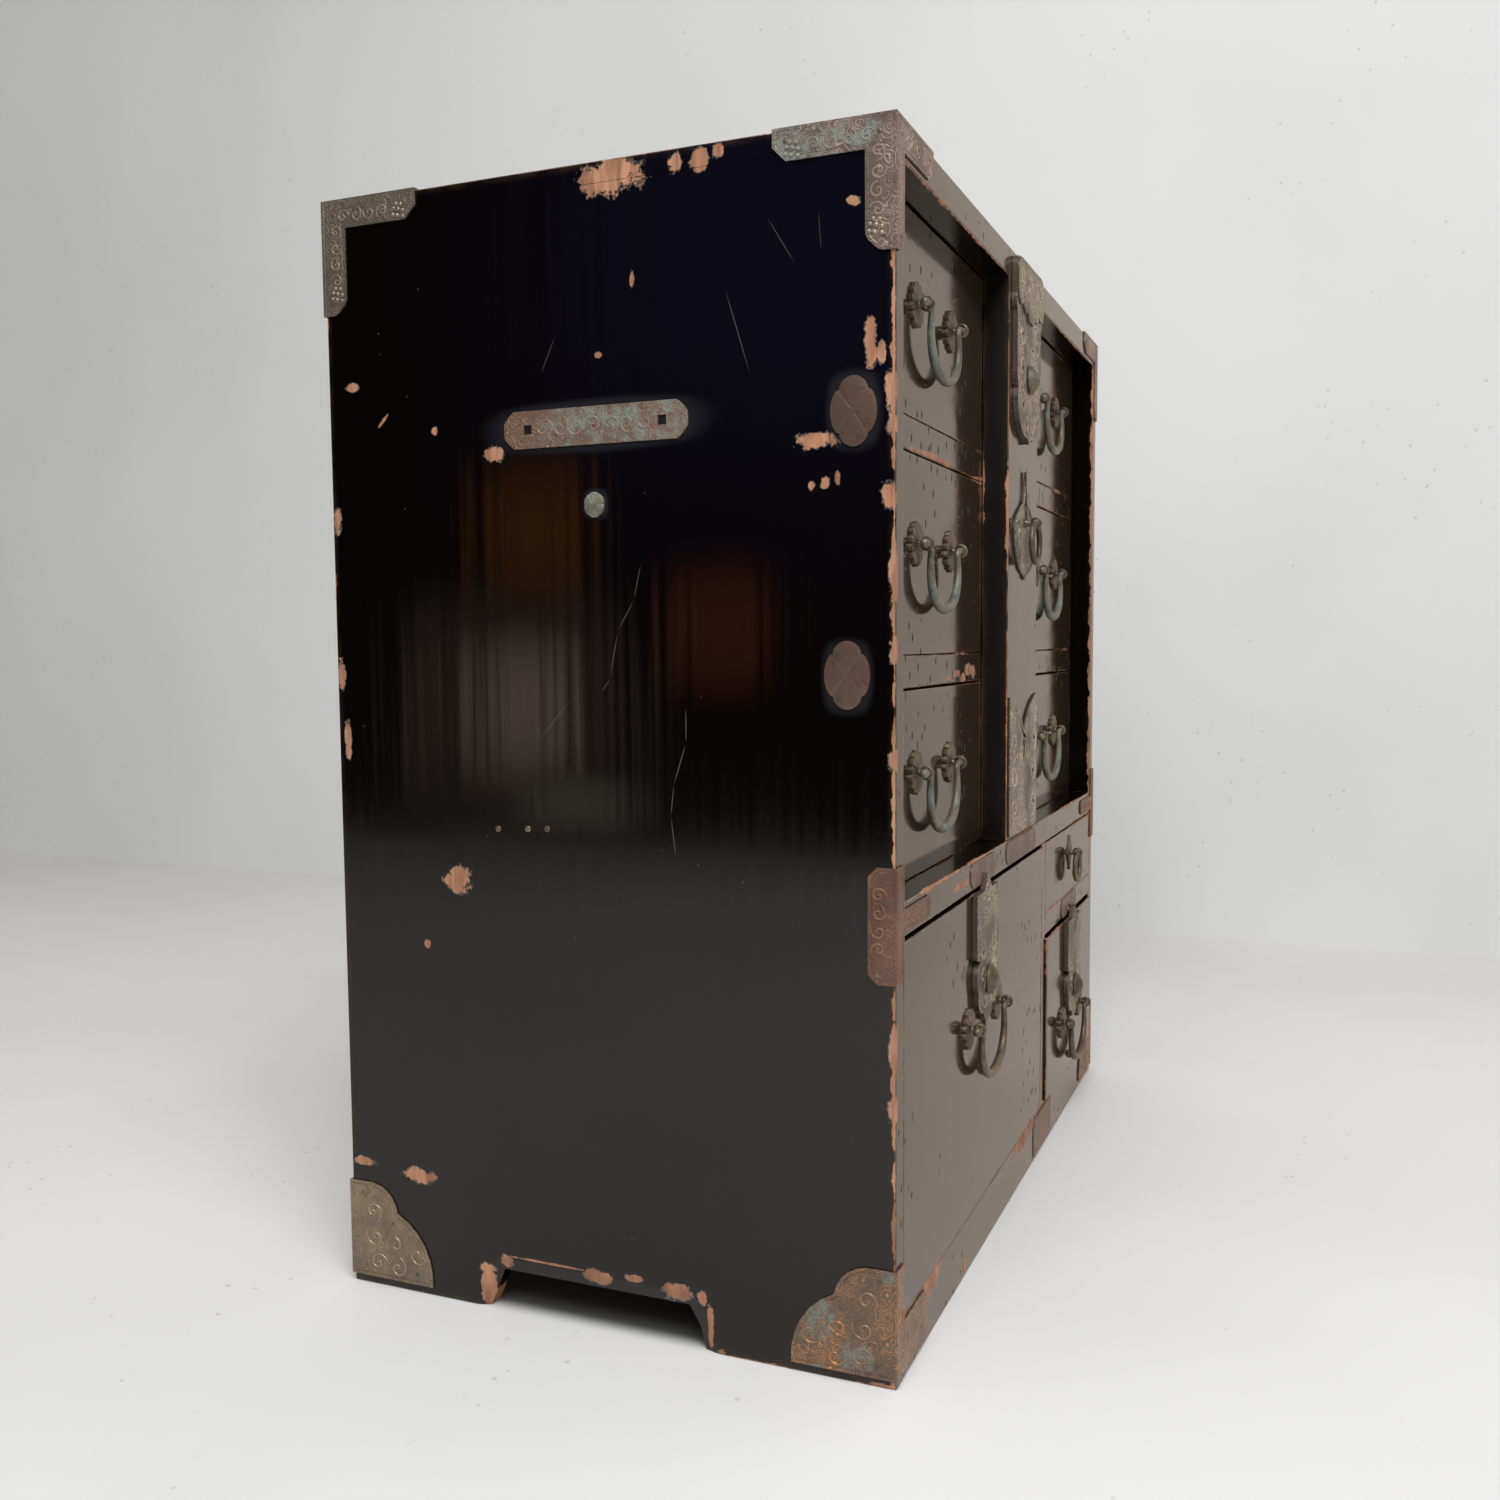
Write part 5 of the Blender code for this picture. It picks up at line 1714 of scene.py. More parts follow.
@dataclass
class DrawerFront:
    """One drawer: its lacquered front, what pulls it and any striker."""

    name: str
    metal: MetalFinish
    ring: bool = False
    locks: bool = False

    def build(self) -> None:
        """Builds the front and its fittings, and dresses the tray."""
        pull = f"{self.name}_{'ring' if self.ring else 'bail'}"
        axis_point = joint_point(f"{pull}_hinge")
        face_y = axis_point.y + PULL.eye_reach
        self.build_board(face_y)
        plate_metal = BROWN_BRONZE.material()
        seats = [Vector((axis_point.x, face_y, axis_point.z))]
        if self.ring:
            self.build_lozenge(seats[0])
            wire = hung_ring(axis_point, PULL.small_ring, PULL.ring_wire)
        else:
            offset = Vector((PULL.spacing / 2, 0, 0))
            seats = [seats[0] - offset, seats[0] + offset]
            rosettes = join_shapes(on_front(ROSETTE.shape(), *seat) for seat in seats)
            add_piece(rosettes, f"{self.name}_rosettes", plate_metal, self.name)
            wire = bail_shape(axis_point)
        add_piece(wire, f"{pull}_wire", self.metal.material(), pull, [pull], 60)
        posts = join_shapes(post_shape(seat) for seat in seats)
        add_piece(posts, f"{self.name}_posts", plate_metal, self.name)
        if self.locks:
            profile = dome_profile(PULL.striker_r, PULL.striker_h, 5) + [(PULL.striker_r, 0.0)]
            stud = on_front(turned_shape(profile, 20), axis_point.x, face_y, axis_point.z - PULL.drop)
            add_piece(stud, f"{self.name}_striker", plate_metal, self.name)
        dress_node(f"{self.name}_tray", TRAY_WOOD.material(f"{self.name}_tray_wood"))

    def build_board(self, face_y: float) -> None:
        """Builds the lacquered board of the front.

        Args:
            face_y: where its outer face is.
        """
        node = f"{self.name}_front"
        low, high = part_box(node)
        tray_low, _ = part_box(f"{self.name}_tray")
        low = Vector((low.x, face_y, low.z))
        high = Vector((high.x, tray_low.y - CLEARANCE, high.z))
        finish = FRONT_LACQUER.material(self.name, low, high)
        add_piece(board_shape(low, high), f"{self.name}_board", finish, self.name, [node])

    def build_lozenge(self, seat: Vector) -> None:
        """Builds the pointed back plate of a ring pull.

        Args:
            seat: its middle, on the front.
        """
        half_w, half_h = PULL.lozenge
        rim = mirrored_outline([(0, half_h, -0.08), (half_w, 0, -0.08), (0, -half_h, 0)], 5)
        shape = plate_shape([rim], PULL.lozenge_t)
        PULL.lozenge_border.cut(shape, faces_at(shape, *UPWARDS))
        on_front(shape, *seat)
        add_piece(shape, f"{self.name}_lozenge", self.metal.material(), self.name)


@dataclass
class SideBoard:
    """A side of the case: a board with an arch between its feet, and the plates nailed to it."""

    side: Side
    finish: LacquerFinish
    front_foot: float = 0.153
    rear_foot: float = 0.135
    arch_h: float = 0.033
    slope: float = 0.014
    chamfer_w: float = 0.013
    chamfer_d: float = 0.004
    ease: float = 0.0012
    grip_from_front: float = 0.2365
    grip_z: float = 0.707
    grip_half_l: float = 0.0785
    grip_half_h: float = 0.01425
    grip_corner: float = 0.009
    grip_hole: float = 0.0035
    grip_hole_x: float = 0.0575
    grip_t: float = 0.0014
    grip_ease: float = 0.0004
    grip_curls: int = 7
    grip_curl_r: float = 0.0072
    grip_curl_start: float = -0.0435
    grip_curl_step: float = 0.0145
    boss_drop: float = 0.0595
    covers: tuple[tuple[str, float], ...] = (("upper_shelf_1", 0.0304), ("upper_shelf_2", 0.0357))
    cover_drop: float = 0.013
    nails: Spots = ((0.329, 0.3965), (0.3015, 0.3977), (0.284, 0.3985))
    nail_size: tuple[float, float] = (0.0027, 0.0009)

    @property
    def node(self) -> str:
        """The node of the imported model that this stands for."""
        return f"side_{self.side.name.lower()}"

    def loop(self, shape: Shape, x: float, spread: float, inset: float) -> list:
        """The board's outline across one plane.

        Args:
            shape: the shape to add it to.
            x: how far out the plane is.
            spread: how far the chamfer widens the arch there.
            inset: how far the other edges are rounded in there.

        Returns:
            The outline's edges.
        """
        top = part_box(self.node)[1].z
        front = FRONT_Y + self.front_foot - spread
        rear = BACK_Y - self.rear_foot + spread
        lift = self.arch_h + spread
        run = self.slope * lift / self.arch_h
        corners = [
            (FRONT_Y + inset, inset),
            (front, inset),
            (front + run * 0.35, lift * 0.55),
            (front + run, lift),
            (rear - run, lift),
            (rear, inset),
            (BACK_Y - inset, inset),
            (BACK_Y - inset, top),
            (FRONT_Y + inset, top),
        ]
        verts = [shape.verts.new((self.side.value * x, y, z)) for y, z in corners]
        return [shape.edges.new(pair) for pair in zip(verts, verts[1:] + verts[:1])]

    def build(self) -> None:
        """Builds the board and its plates."""
        shape = bmesh.new()
        stations = [
            (INNER_X, 0.0, 0.0),
            (HALF_W - self.chamfer_d, 0.0, 0.0),
            (HALF_W - self.ease, self.chamfer_w * 0.7, 0.0),
            (HALF_W, self.chamfer_w, self.ease),
        ]
        loops = [self.loop(shape, *station) for station in stations]
        for near, far in zip(loops, loops[1:]):
            bmesh.ops.bridge_loops(shape, edges=near + far)
        for loop in (loops[0], loops[-1]):
            bmesh.ops.contextual_create(shape, geom=loop)
        bmesh.ops.recalc_face_normals(shape, faces=shape.faces)
        inner, outer = sorted((self.side.value * INNER_X, self.side.value * HALF_W))
        low = Vector((inner, FRONT_Y, 0.0))
        high = Vector((outer, BACK_Y, CASE_H))
        finish = self.finish.material(self.node, low, high)
        add_piece(shape, f"{self.node}_board", finish, "case", [self.node], 20)
        self.build_grip_plate()
        self.build_covers()

    def build_grip_plate(self) -> None:
        """Builds the plate of the missing carrying grip, with its square holes, and the boss below it."""
        half_l, half_h, corner = self.grip_half_l, self.grip_half_h, self.grip_corner
        rims = [
            mirrored_outline(
                [
                    (half_l - corner, half_h, 0.06),
                    (half_l, half_h - corner, 0),
                    (half_l, corner - half_h, 0.06),
                    (half_l - corner, -half_h, 0),
                ]
            )
        ]
        hole = self.grip_hole
        for x in (-self.grip_hole_x, self.grip_hole_x):
            square = ((x - hole, -hole), (x + hole, -hole), (x + hole, hole), (x - hole, hole))
            rims.append([Vector(point) for point in square])
        plate = plate_shape(rims, self.grip_t)
        soften_rim(plate, faces_at(plate, *UPWARDS), self.grip_ease)
        y = FRONT_Y + self.grip_from_front
        add_fitting(on_side(plate, self.side, y, self.grip_z), f"{self.node}_grip_plate", GRIP_COPPER)
        curls = []
        for step in range(self.grip_curls):
            across = self.grip_curl_step * step + self.grip_curl_start
            curls.append(Scroll(across, 0.0, self.grip_curl_r, 1.2 * step, 1 - 2 * (step % 2)))
        scrolls = on_side(scroll_shape(curls, False), self.side, y, self.grip_z, self.grip_t)
        add_fitting(scrolls, f"{self.node}_grip_scrolls", GRIP_COPPER.raised())
        boss = on_side(SIDE_BOSS.shape(), self.side, y, self.grip_z - self.boss_drop)
        add_fitting(boss, f"{self.node}_boss", GREEN_BRONZE)

    def build_covers(self) -> None:
        """Builds the lobed covers over the ends of the drawer rails, and the nails low on the board."""
        covers = []
        for node, from_front in self.covers:
            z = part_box(node)[1].z - self.cover_drop
            covers.append(on_side(SIDE_COVER.shape(), self.side, FRONT_Y + from_front, z))
        add_fitting(join_shapes(covers), f"{self.node}_covers", COVER_COPPER)
        heads = []
        for from_front, z in self.nails:
            heads.append(on_side(nail_shape(*self.nail_size), self.side, FRONT_Y + from_front, z))
        add_fitting(join_shapes(heads), f"{self.node}_nails", IRON_NAIL)


class SheetKind(Enum):
    """The kinds of sheet fittings, by how the names of their nodes start."""

    TOP = "top_corner"
    FOOT = "foot_corner"
    EDGE = "edge_plate"


@dataclass(frozen=True)
class Sheet:
    """One kind of sheet fitting: its metals, and its nails, curls and clusters of berries.

    Spots are measured in from the fitting's corner and up from its base, on the side and on the front.
    """

    metal: MetalFinish
    rear_metal: MetalFinish
    base: float
    side_nails: Spots
    front_nails: Spots
    side_curls: Spots
    front_curls: Spots
    side_clusters: Spots = ()
    curl_r: float = 0.0052


def spot_row(
    across: float, up: float, step: tuple[float, float], count: int
) -> list[tuple[float, float]]:
    """Spots in a row: how far in and up the first one is, and how far on the next ones are."""
    return [(across + step[0] * index, up + step[1] * index) for index in range(count)]


TOP_NAILS = ((0.011, -0.011), (0.080, -0.008), (0.008, -0.080))
INWARDS = (0.013, 0.0)
DOWNWARDS = (0.0, -0.013)
SHEETS = {
    SheetKind.TOP: Sheet(
        BROWN_COPPER,
        REAR_COPPER,
        CASE_H,
        side_nails=TOP_NAILS,
        front_nails=TOP_NAILS,
        side_curls=spot_row(0.020, -0.0125, INWARDS, 4) + spot_row(0.0125, -0.024, DOWNWARDS, 4),
        front_curls=spot_row(0.024, -0.0125, INWARDS, 5),
        side_clusters=((0.0745, -0.0135), (0.0135, -0.0730)),
    ),
    SheetKind.FOOT: Sheet(
        FOOT_COPPER,
        OLIVE_COPPER,
        0.0,
        side_nails=((0.014, 0.016), (0.066, 0.016), (0.012, 0.080), (0.042, 0.056)),
        front_nails=((0.013, 0.020), (0.062, 0.020), (0.013, 0.076)),
        side_curls=(
            (0.026, 0.020),
            (0.046, 0.018),
            (0.024, 0.042),
            (0.044, 0.038),
            (0.022, 0.064),
            (0.066, 0.032),
        ),
        front_curls=((0.026, 0.030), (0.045, 0.026), (0.0098, 0.054)),
        curl_r=0.0080,
    ),
    SheetKind.EDGE: Sheet(
        RED_COPPER,
        RED_COPPER,
        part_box("middle_shelf")[1].z,
        side_nails=((0.0135, 0.022), (0.0135, -0.050)),
        front_nails=((0.012, 0.020), (0.012, -0.048), (0.078, -0.0128)),
        side_curls=spot_row(0.0125, 0.008, DOWNWARDS, 4),
        front_curls=spot_row(0.026, -0.0128, INWARDS, 4),
    ),
}


@dataclass
class SheetFitting:
    """One sheet fitting, nailed over a corner or an edge of the case."""

    node: str
    kind: SheetKind
    border: Border = Border(0.0022, 0.0012, 0.00035)
    leg_ease: float = 0.0036
    curl_wire: float = 0.0008
    berry_r: float = 0.0016
    berry_h: float = 0.0013
    berry_sunk: float = 0.0004
    berries: Spots = (
        (0.0, 0.0),
        (0.0043, 0.0010),
        (0.0020, 0.0044),
        (-0.0026, 0.0036),
        (0.0052, -0.0036),
        (-0.0042, -0.0012),
        (0.0010, -0.0046),
        (-0.0040, -0.0056),
    )

    @property
    def sheet(self) -> Sheet:
        """What fittings of its kind share."""
        return SHEETS[self.kind]

    @property
    def side(self) -> Side:
        """The side of the case that it is on."""
        return Side.LEFT if "left" in self.node else Side.RIGHT

    @property
    def rear(self) -> bool:
        """Whether it is at the back of the case."""
        return "back" in self.node

    @property
    def edge_y(self) -> float:
        """Y of the edge that it covers."""
        return BACK_Y if self.rear else FRONT_Y

    @property
    def inwards(self) -> int:
        """The sign of Y from its edge into the case."""
        return -1 if self.rear else 1

    def build(self) -> list[Shape]:
        """Builds the fitting, with grooved borders and curls.

        Returns:
            Its nail heads, in place.
        """
        shape = node_copy(self.node)
        if self.kind is SheetKind.TOP:
            self.round_leg(shape)
        for axis, sign in self.faces():
            self.border.cut(shape, faces_at(shape, axis, sign))
        finish = self.sheet.rear_metal if self.rear else self.sheet.metal
        add_piece(shape, f"{self.node}_sheet", finish.material(), "case", [self.node], 20)
        add_fitting(self.curls(), f"{self.node}_scrolls", finish.raised())
        spots = self.spots(self.sheet.side_nails, self.sheet.front_nails)
        return [self.placed(nail_shape(), spot) for spot in spots]

    def faces(self) -> list[tuple[int, int]]:
        """The faces that have a border.

        Returns:
            (axis, sign) of each face.
        """
        found = [(0, self.side.value)]
        if self.kind is not SheetKind.FOOT:
            found.append((1, -self.inwards))
        if self.kind is SheetKind.TOP:
            found.append(UPWARDS)
        return found

    def round_leg(self, shape: Shape) -> None:
        """Rounds the end of a corner fitting's upright leg on the side.

        Args:
            shape: the fitting, in place.
        """
        ends = []
        for edge in shape.edges:
            first, second = (vert.co for vert in edge.verts)
            along = abs(first.x - second.x)
            thin = along < 0.004 and along > 0.95 * edge.calc_length()
            if thin and first.z < CASE_H - 0.05 and abs(first.y - self.edge_y) > 0.004:
                ends.append(edge)
        round_edges(shape, ends, self.leg_ease, 4)

    def spots(self, side_spots: Spots, front_spots: Spots) -> list[tuple[Facing, float, float]]:
        """Where spots on its side face and its front face are.

        Args:
            side_spots: (in from the corner, up from the base) on the side.
            front_spots: the same on the front. The back has none.

        Returns:
            The face, its Y or X, and Z of each spot.
        """
        base = self.sheet.base
        found = [(Facing.SIDE, self.edge_y + self.inwards * back, base + up) for back, up in side_spots]
        if not self.rear:
            out = self.side.value
            found += [(Facing.FRONT, out * (HALF_W - across), base + up) for across, up in front_spots]
        return found

    def placed(self, shape: Shape, spot: tuple[Facing, float, float]) -> Shape:
        """Lays a small shape on the fitting.

        Args:
            shape: the shape.
            spot: the face and place.

        Returns:
            The shape, in place.
        """
        low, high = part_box(self.node)
        facing, along, z = spot
        if facing is Facing.FRONT:
            return on_front(shape, along, low.y, z)
        out = abs(low.x if self.side is Side.LEFT else high.x) - HALF_W
        return on_side(shape, self.side, along, z, out)

    def curls(self) -> Shape:
        """Its raised curls, and berries where it has them.

        Returns:
            The shape, in place.
        """
        made = []
        for index, spot in enumerate(self.spots(self.sheet.side_curls, self.sheet.front_curls)):
            hand = 1 - 2 * (index % 2)
            curl = Scroll(0.0, 0.0, self.sheet.curl_r, 1.3 * index, hand, self.curl_wire)
            made.append(self.placed(scroll_shape([curl], False), spot))
        profile = dome_profile(self.berry_r, self.berry_h, 4) + [(self.berry_r, -self.berry_sunk)]
        for facing, along, z in self.spots(self.sheet.side_clusters, ()):
            for across, up in self.berries:
                berry = turned_shape(profile, 12)
                made.append(self.placed(berry, (facing, along + across, z + up)))
        return join_shapes(made)


def build_sheet_fittings() -> None:
    """Builds every corner and edge fitting, and the nails of them all."""
    nails = []
    for node in sorted(frame["nodes"]):
        for kind in SheetKind:
            if node.startswith(kind.value):
                nails += SheetFitting(node, kind).build()
    add_fitting(join_shapes(nails), "case_fitting_nails", IRON_NAIL)


def add_rail_plate(name: str, rim: Outline, place: Vector) -> None:
    """Adds a thin copper plate on the front of a rail.

    Args:
        name: the piece's name.
        rim: its outline.
        place: where the outline's middle is, on the rail's front.
    """
    shape = plate_shape([rim], RAIL_PLATE_T)
    soften_rim(shape, faces_at(shape, *UPWARDS), RAIL_PLATE_EASE)
    add_fitting(on_front(shape, *place), name, RAIL_COPPER)


def add_lock_curls(name: str, body: str, scrolls: Sequence[Scroll], place: Vector) -> None:
    """Adds the raised curls of a lock plate, measured from a place on its face."""
    curls = on_front(scroll_shape(scrolls), *place)
    add_piece(curls, f"{name}_scrolls", LOCK_BRONZE.raised().material(), body)


@dataclass
class LockPlate:
    """A lock plate, bordered and with raised curls, on a drawer or on the bar."""

    node: str
    body: str
    scrolls: tuple[Scroll, ...]
    from_top: bool = True
    border: Border = Border(0.0028, 0.0016, 0.0005)
    rounding: float = 0.0011
    top_drop: float = 0.0

    def drop_top(self, shape: Shape) -> None:
        """Lowers the plate's straight top and rounds its corners.

        Args:
            shape: the plate, in place.
        """
        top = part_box(self.node)[1].z - 0.0005
        verts = [vert for vert in shape.verts if vert.co.z > top]
        bmesh.ops.translate(shape, vec=(0, 0, -self.top_drop), verts=verts)
        corners = []
        for edge in shape.edges:
            first, second = edge.verts
            depth = abs(first.co.y - second.co.y)
            if first in verts and second in verts and depth > 0.9 * edge.calc_length():
                corners.append(edge)
        round_edges(shape, corners, 2 * self.top_drop, 4)

    def build(self) -> None:
        """Builds the plate from its node, and its curls."""
        shape = node_copy(self.node)
        if self.top_drop:
            self.drop_top(shape)
        soften_rim(shape, faces_at(shape, *FORWARDS), self.rounding)
        self.border.cut(shape, faces_at(shape, *FORWARDS))
        metal = LOCK_BRONZE.material()
        add_piece(shape, f"{self.node}_chased", metal, self.body, [self.node], 24)
        low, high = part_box(self.node)
        place = Vector(((low.x + high.x) / 2, low.y, high.z if self.from_top else low.z))
        add_lock_curls(self.node, self.body, self.scrolls, place)


@dataclass
class Knob:
    """A domed knob on its stem, which slides a bolt."""

    name: str
    radius: float = 0.0138
    height: float = 0.0095
    rim: float = 0.0014
    stem_r: float = 0.004
    stem_l: float = 0.004

    def build(self) -> None:
        """Builds the knob where its node is."""
        low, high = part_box(self.name)
        seat = Vector(((low.x + high.x) / 2, low.y + self.height, (low.z + high.z) / 2))
        dome = self.radius - self.rim
        profile = dome_profile(dome, self.height, 9)[:-1]
        profile += [(dome, 0.0028), (self.radius - 0.0004, 0.0024), (self.radius, 0.0014), (dome, 0.0)]
        profile += [(self.stem_r, 0.0), (self.stem_r, -self.stem_l), (0.0, -self.stem_l)]
        shape = on_front(turned_shape(profile, 40), *seat)
        add_piece(shape, f"{self.name}_dome", BROWN_BRONZE.material(), self.name, [self.name])


@dataclass
class DrawerLock:
    """The lock of a lower drawer: plate, pointed tab and knob, and the plate on the rail above it."""

    drawer: str
    rail: str
    tab_r: float = 0.0125
    tab_h: float = 0.0032
    tab_stretch: tuple[float, float, float] = (0.82, 1.35, 1.0)
    tab_drop: float = 0.0170
    notch_gap: float = 0.0016
    scrolls: tuple[Scroll, ...] = (
        Scroll(0.021, -0.066, 0.0090, 1.6, 1, 0.0011),
        Scroll(0.020, -0.088, 0.0095, 4.5, -1, 0.0011),
        Scroll(0.013, -0.110, 0.0080, 0.6, -1, 0.0010),
    )

    def build(self) -> None:
        """Builds the lock."""
        node = f"{self.drawer}_lock_plate"
        LockPlate(node, self.drawer, self.scrolls).build()
        low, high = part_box(node)
        middle = (low.x + high.x) / 2
        tab = bmesh.new()
        sizes = {"radius1": self.tab_r, "radius2": 0.0, "depth": self.tab_h}
        bmesh.ops.create_cone(tab, cap_ends=True, segments=4, **sizes)
        bmesh.ops.scale(tab, vec=self.tab_stretch, verts=tab.verts)
        bmesh.ops.translate(tab, vec=(0, 0, self.tab_h / 2), verts=tab.verts)
        on_front(tab, middle, low.y, high.z - self.tab_drop)
        add_piece(tab, f"{self.drawer}_lock_tab", LOCK_BRONZE.material(), self.drawer)
        Knob(f"{self.drawer}_knob").build()
        self.build_rail_plate(middle, high.z)

    def build_rail_plate(self, middle: float, tip_z: float) -> None:
        """Builds a lobed plate on the rail above the lock, notched for the tab.

        Args:
            middle: X of the lock's middle.
            tip_z: the height of the tab's tip.
        """
        low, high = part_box(self.rail)
        half_h = RAIL_PLATE_HALF_H
        centre_z = high.z - RAIL_PLATE_DROP
        notch = max(0.0, tip_z - (centre_z - half_h)) + self.notch_gap
        rim = mirrored_outline(
            [
                (0.0, half_h, 0),
                (0.036, half_h, 0.22),
                (0.0455, 0.002, 0.22),
                (0.036, -half_h, 0),
                (0.0150, -half_h, 0),
                (0.0, notch - half_h, 0),
            ]
        )
        add_rail_plate(f"{self.drawer}_rail_plate", rim, Vector((middle, low.y, centre_z)))


@dataclass
class LockingBar:
    """The upright bar: its board, plates, hood, knob and ring."""

    body: str = "locking_bar"
    top_drop: float = 0.0045
    foot_rounding: float = 0.0005
    hood_half: float = 0.0566
    hood_t: float = 0.0020
    hood_ease: float = 0.0006
    hood_border: Border = Border(0.0022, 0.0014, 0.0005)
    middle_half: float = 0.046
    middle_neck: float = 0.009
    middle_t: float = 0.0016
    middle_ridge: Border = Border(0.0007, 0.0022, -0.0011)
    keyhole: tuple[float, float, float] = (0.0040, 0.0094, 0.0003)
    keyhole_rise: float = 0.080
    top_scrolls: tuple[Scroll, ...] = (
        Scroll(0.034, -0.072, 0.0130, 1.6, 1, 0.0014),
        Scroll(0.033, -0.104, 0.0130, 4.7, -1, 0.0014),
        Scroll(0.030, -0.136, 0.0110, 1.4, 1, 0.0013),
        Scroll(0.012, -0.150, 0.0090, 0.4, -1, 0.0013),
        Scroll(0.011, -0.080, 0.0085, 2.4, -1, 0.0010),
    )
    foot_scrolls: tuple[Scroll, ...] = (
        Scroll(0.042, 0.024, 0.0120, 4.6, 1, 0.0014),
        Scroll(0.040, 0.056, 0.0130, 1.6, -1, 0.0014),
        Scroll(0.044, 0.088, 0.0110, 4.7, 1, 0.0014),
        Scroll(0.052, 0.111, 0.0050, 1.6, -1, 0.0009),
        Scroll(0.015, 0.078, 0.0090, 2.6, 1, 0.0010),
    )
    hood_scrolls: tuple[Scroll, ...] = (
        Scroll(0.040, -0.020, 0.0090, 3.4, 1, 0.0010),
        Scroll(0.017, -0.022, 0.0095, 0.2, -1, 0.0010),
    )
    middle_scrolls: tuple[Scroll, ...] = (
        Scroll(0.023, -0.060, 0.0110, 2.0, 1, 0.0010),
        Scroll(0.011, -0.084, 0.0065, 0.8, -1, 0.0009),
    )

    def build(self) -> None:
        """Builds the bar's metalwork and board."""
        LockPlate("bar_top_plate", self.body, self.top_scrolls, top_drop=self.top_drop).build()
        rounding = self.foot_rounding
        LockPlate("bar_bottom_plate", self.body, self.foot_scrolls, False, rounding=rounding).build()
        self.build_middle_plate()
        self.build_hood()
        Knob("bar_knob").build()
        ring = hung_ring(joint_point("bar_ring_hinge"), PULL.bar_ring, PULL.ring_wire)
        metal = BROWN_BRONZE.material()
        add_piece(ring, "bar_ring_wire", metal, "bar_ring", ["bar_ring"], 60)
        low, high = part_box("locking_bar")
        low.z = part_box("middle_shelf")[1].z
        finish = POST_LACQUER.material("locking_bar", low, high)
        board = eased_node(self.body)
        add_piece(board, "locking_bar_board", finish, self.body, [self.body], 24)
        self.build_keyhole()
        self.build_shelf_plate()

    def build_keyhole(self) -> None:
        """Builds the near-black floor of the keyhole in the bottom plate, painted shade for the dark inside
        of the hole.
        """
        low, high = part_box("bar_bottom_plate")
        half_w, half_h, thickness = self.keyhole
        floor = turned_shape([(0.0, thickness), (1.0, thickness), (1.0, 0.0)], 28)
        bmesh.ops.scale(floor, vec=(half_w, half_h, 1.0), verts=floor.verts)
        on_front(floor, 0.0, high.y, low.z + self.keyhole_rise)
        add_piece(floor, "bar_keyhole", PAINTED_KEYHOLE_SHADE.material(), self.body)

    def build_middle_plate(self) -> None:
        """Builds the flame-shaped plate under the ring, with a raised rim, and the ring's post."""
        low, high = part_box("bar_middle_plate")
        half, length = self.middle_half, high.z - low.z
        rim = mirrored_outline(
            [
                (0, 0, -0.06),
                (self.middle_neck, -length * 0.28, 0),
                (half * 0.8, -length * 0.42, 0.14),
                (half, -length * 0.6, 0.16),
                (half * 0.3, -length * 0.94, -0.06),
                (0, -length, 0),
            ],
            10,
        )
        shape = plate_shape([rim], self.middle_t)
        self.middle_ridge.cut(shape, faces_at(shape, *UPWARDS))
        metal = LOCK_BRONZE.material()
        name = "bar_middle_plate"
        shape = on_front(shape, 0.0, high.y, high.z)
        add_piece(shape, f"{name}_chased", metal, self.body, [name], 24)
        add_lock_curls(name, self.body, self.middle_scrolls, Vector((0.0, high.y - self.middle_t, high.z)))
        seat = joint_point("bar_ring_hinge") + Vector((0, PULL.eye_reach, 0))
        add_piece(post_shape(seat), "bar_ring_post", BROWN_BRONZE.material(), self.body)

    def build_hood(self) -> None:
        """Builds the cloud-edged hood over the top of the lock."""
        low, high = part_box("bar_top_plate")
        half = self.hood_half
        rim = mirrored_outline(
            [
                (half * 0.80, -0.0050, 0.16),
                (half, -0.0160, 0),
                (half, -0.038, 0.30),
                (half * 0.62, -0.044, 0.30),
                (half * 0.26, -0.048, 0.34),
                (0.0, -0.056, 0),
            ]
        )
        shape = plate_shape([rim], self.hood_t)
        soften_rim(shape, faces_at(shape, *UPWARDS), self.hood_ease)
        self.hood_border.cut(shape, faces_at(shape, *UPWARDS))
        metal = LOCK_BRONZE.material()
        name = "bar_lock_hood"
        add_piece(on_front(shape, 0.0, low.y, high.z), name, metal, self.body)
        add_lock_curls(name, self.body, self.hood_scrolls, Vector((0.0, low.y - self.hood_t, high.z)))

    def build_shelf_plate(self) -> None:
        """Builds the lobed plate on the edge of the middle shelf, under the bar."""
        low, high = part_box("middle_shelf")
        half_h = RAIL_PLATE_HALF_H
        rim = mirrored_outline(
            [
                (0.0, half_h, 0),
                (0.052, half_h, 0.24),
                (0.066, 0.003, 0.24),
                (0.054, -half_h, 0),
                (0.0, -half_h, 0),
            ]
        )
        add_rail_plate("bar_shelf_plate", rim, Vector((0.0, low.y, high.z - RAIL_PLATE_DROP)))


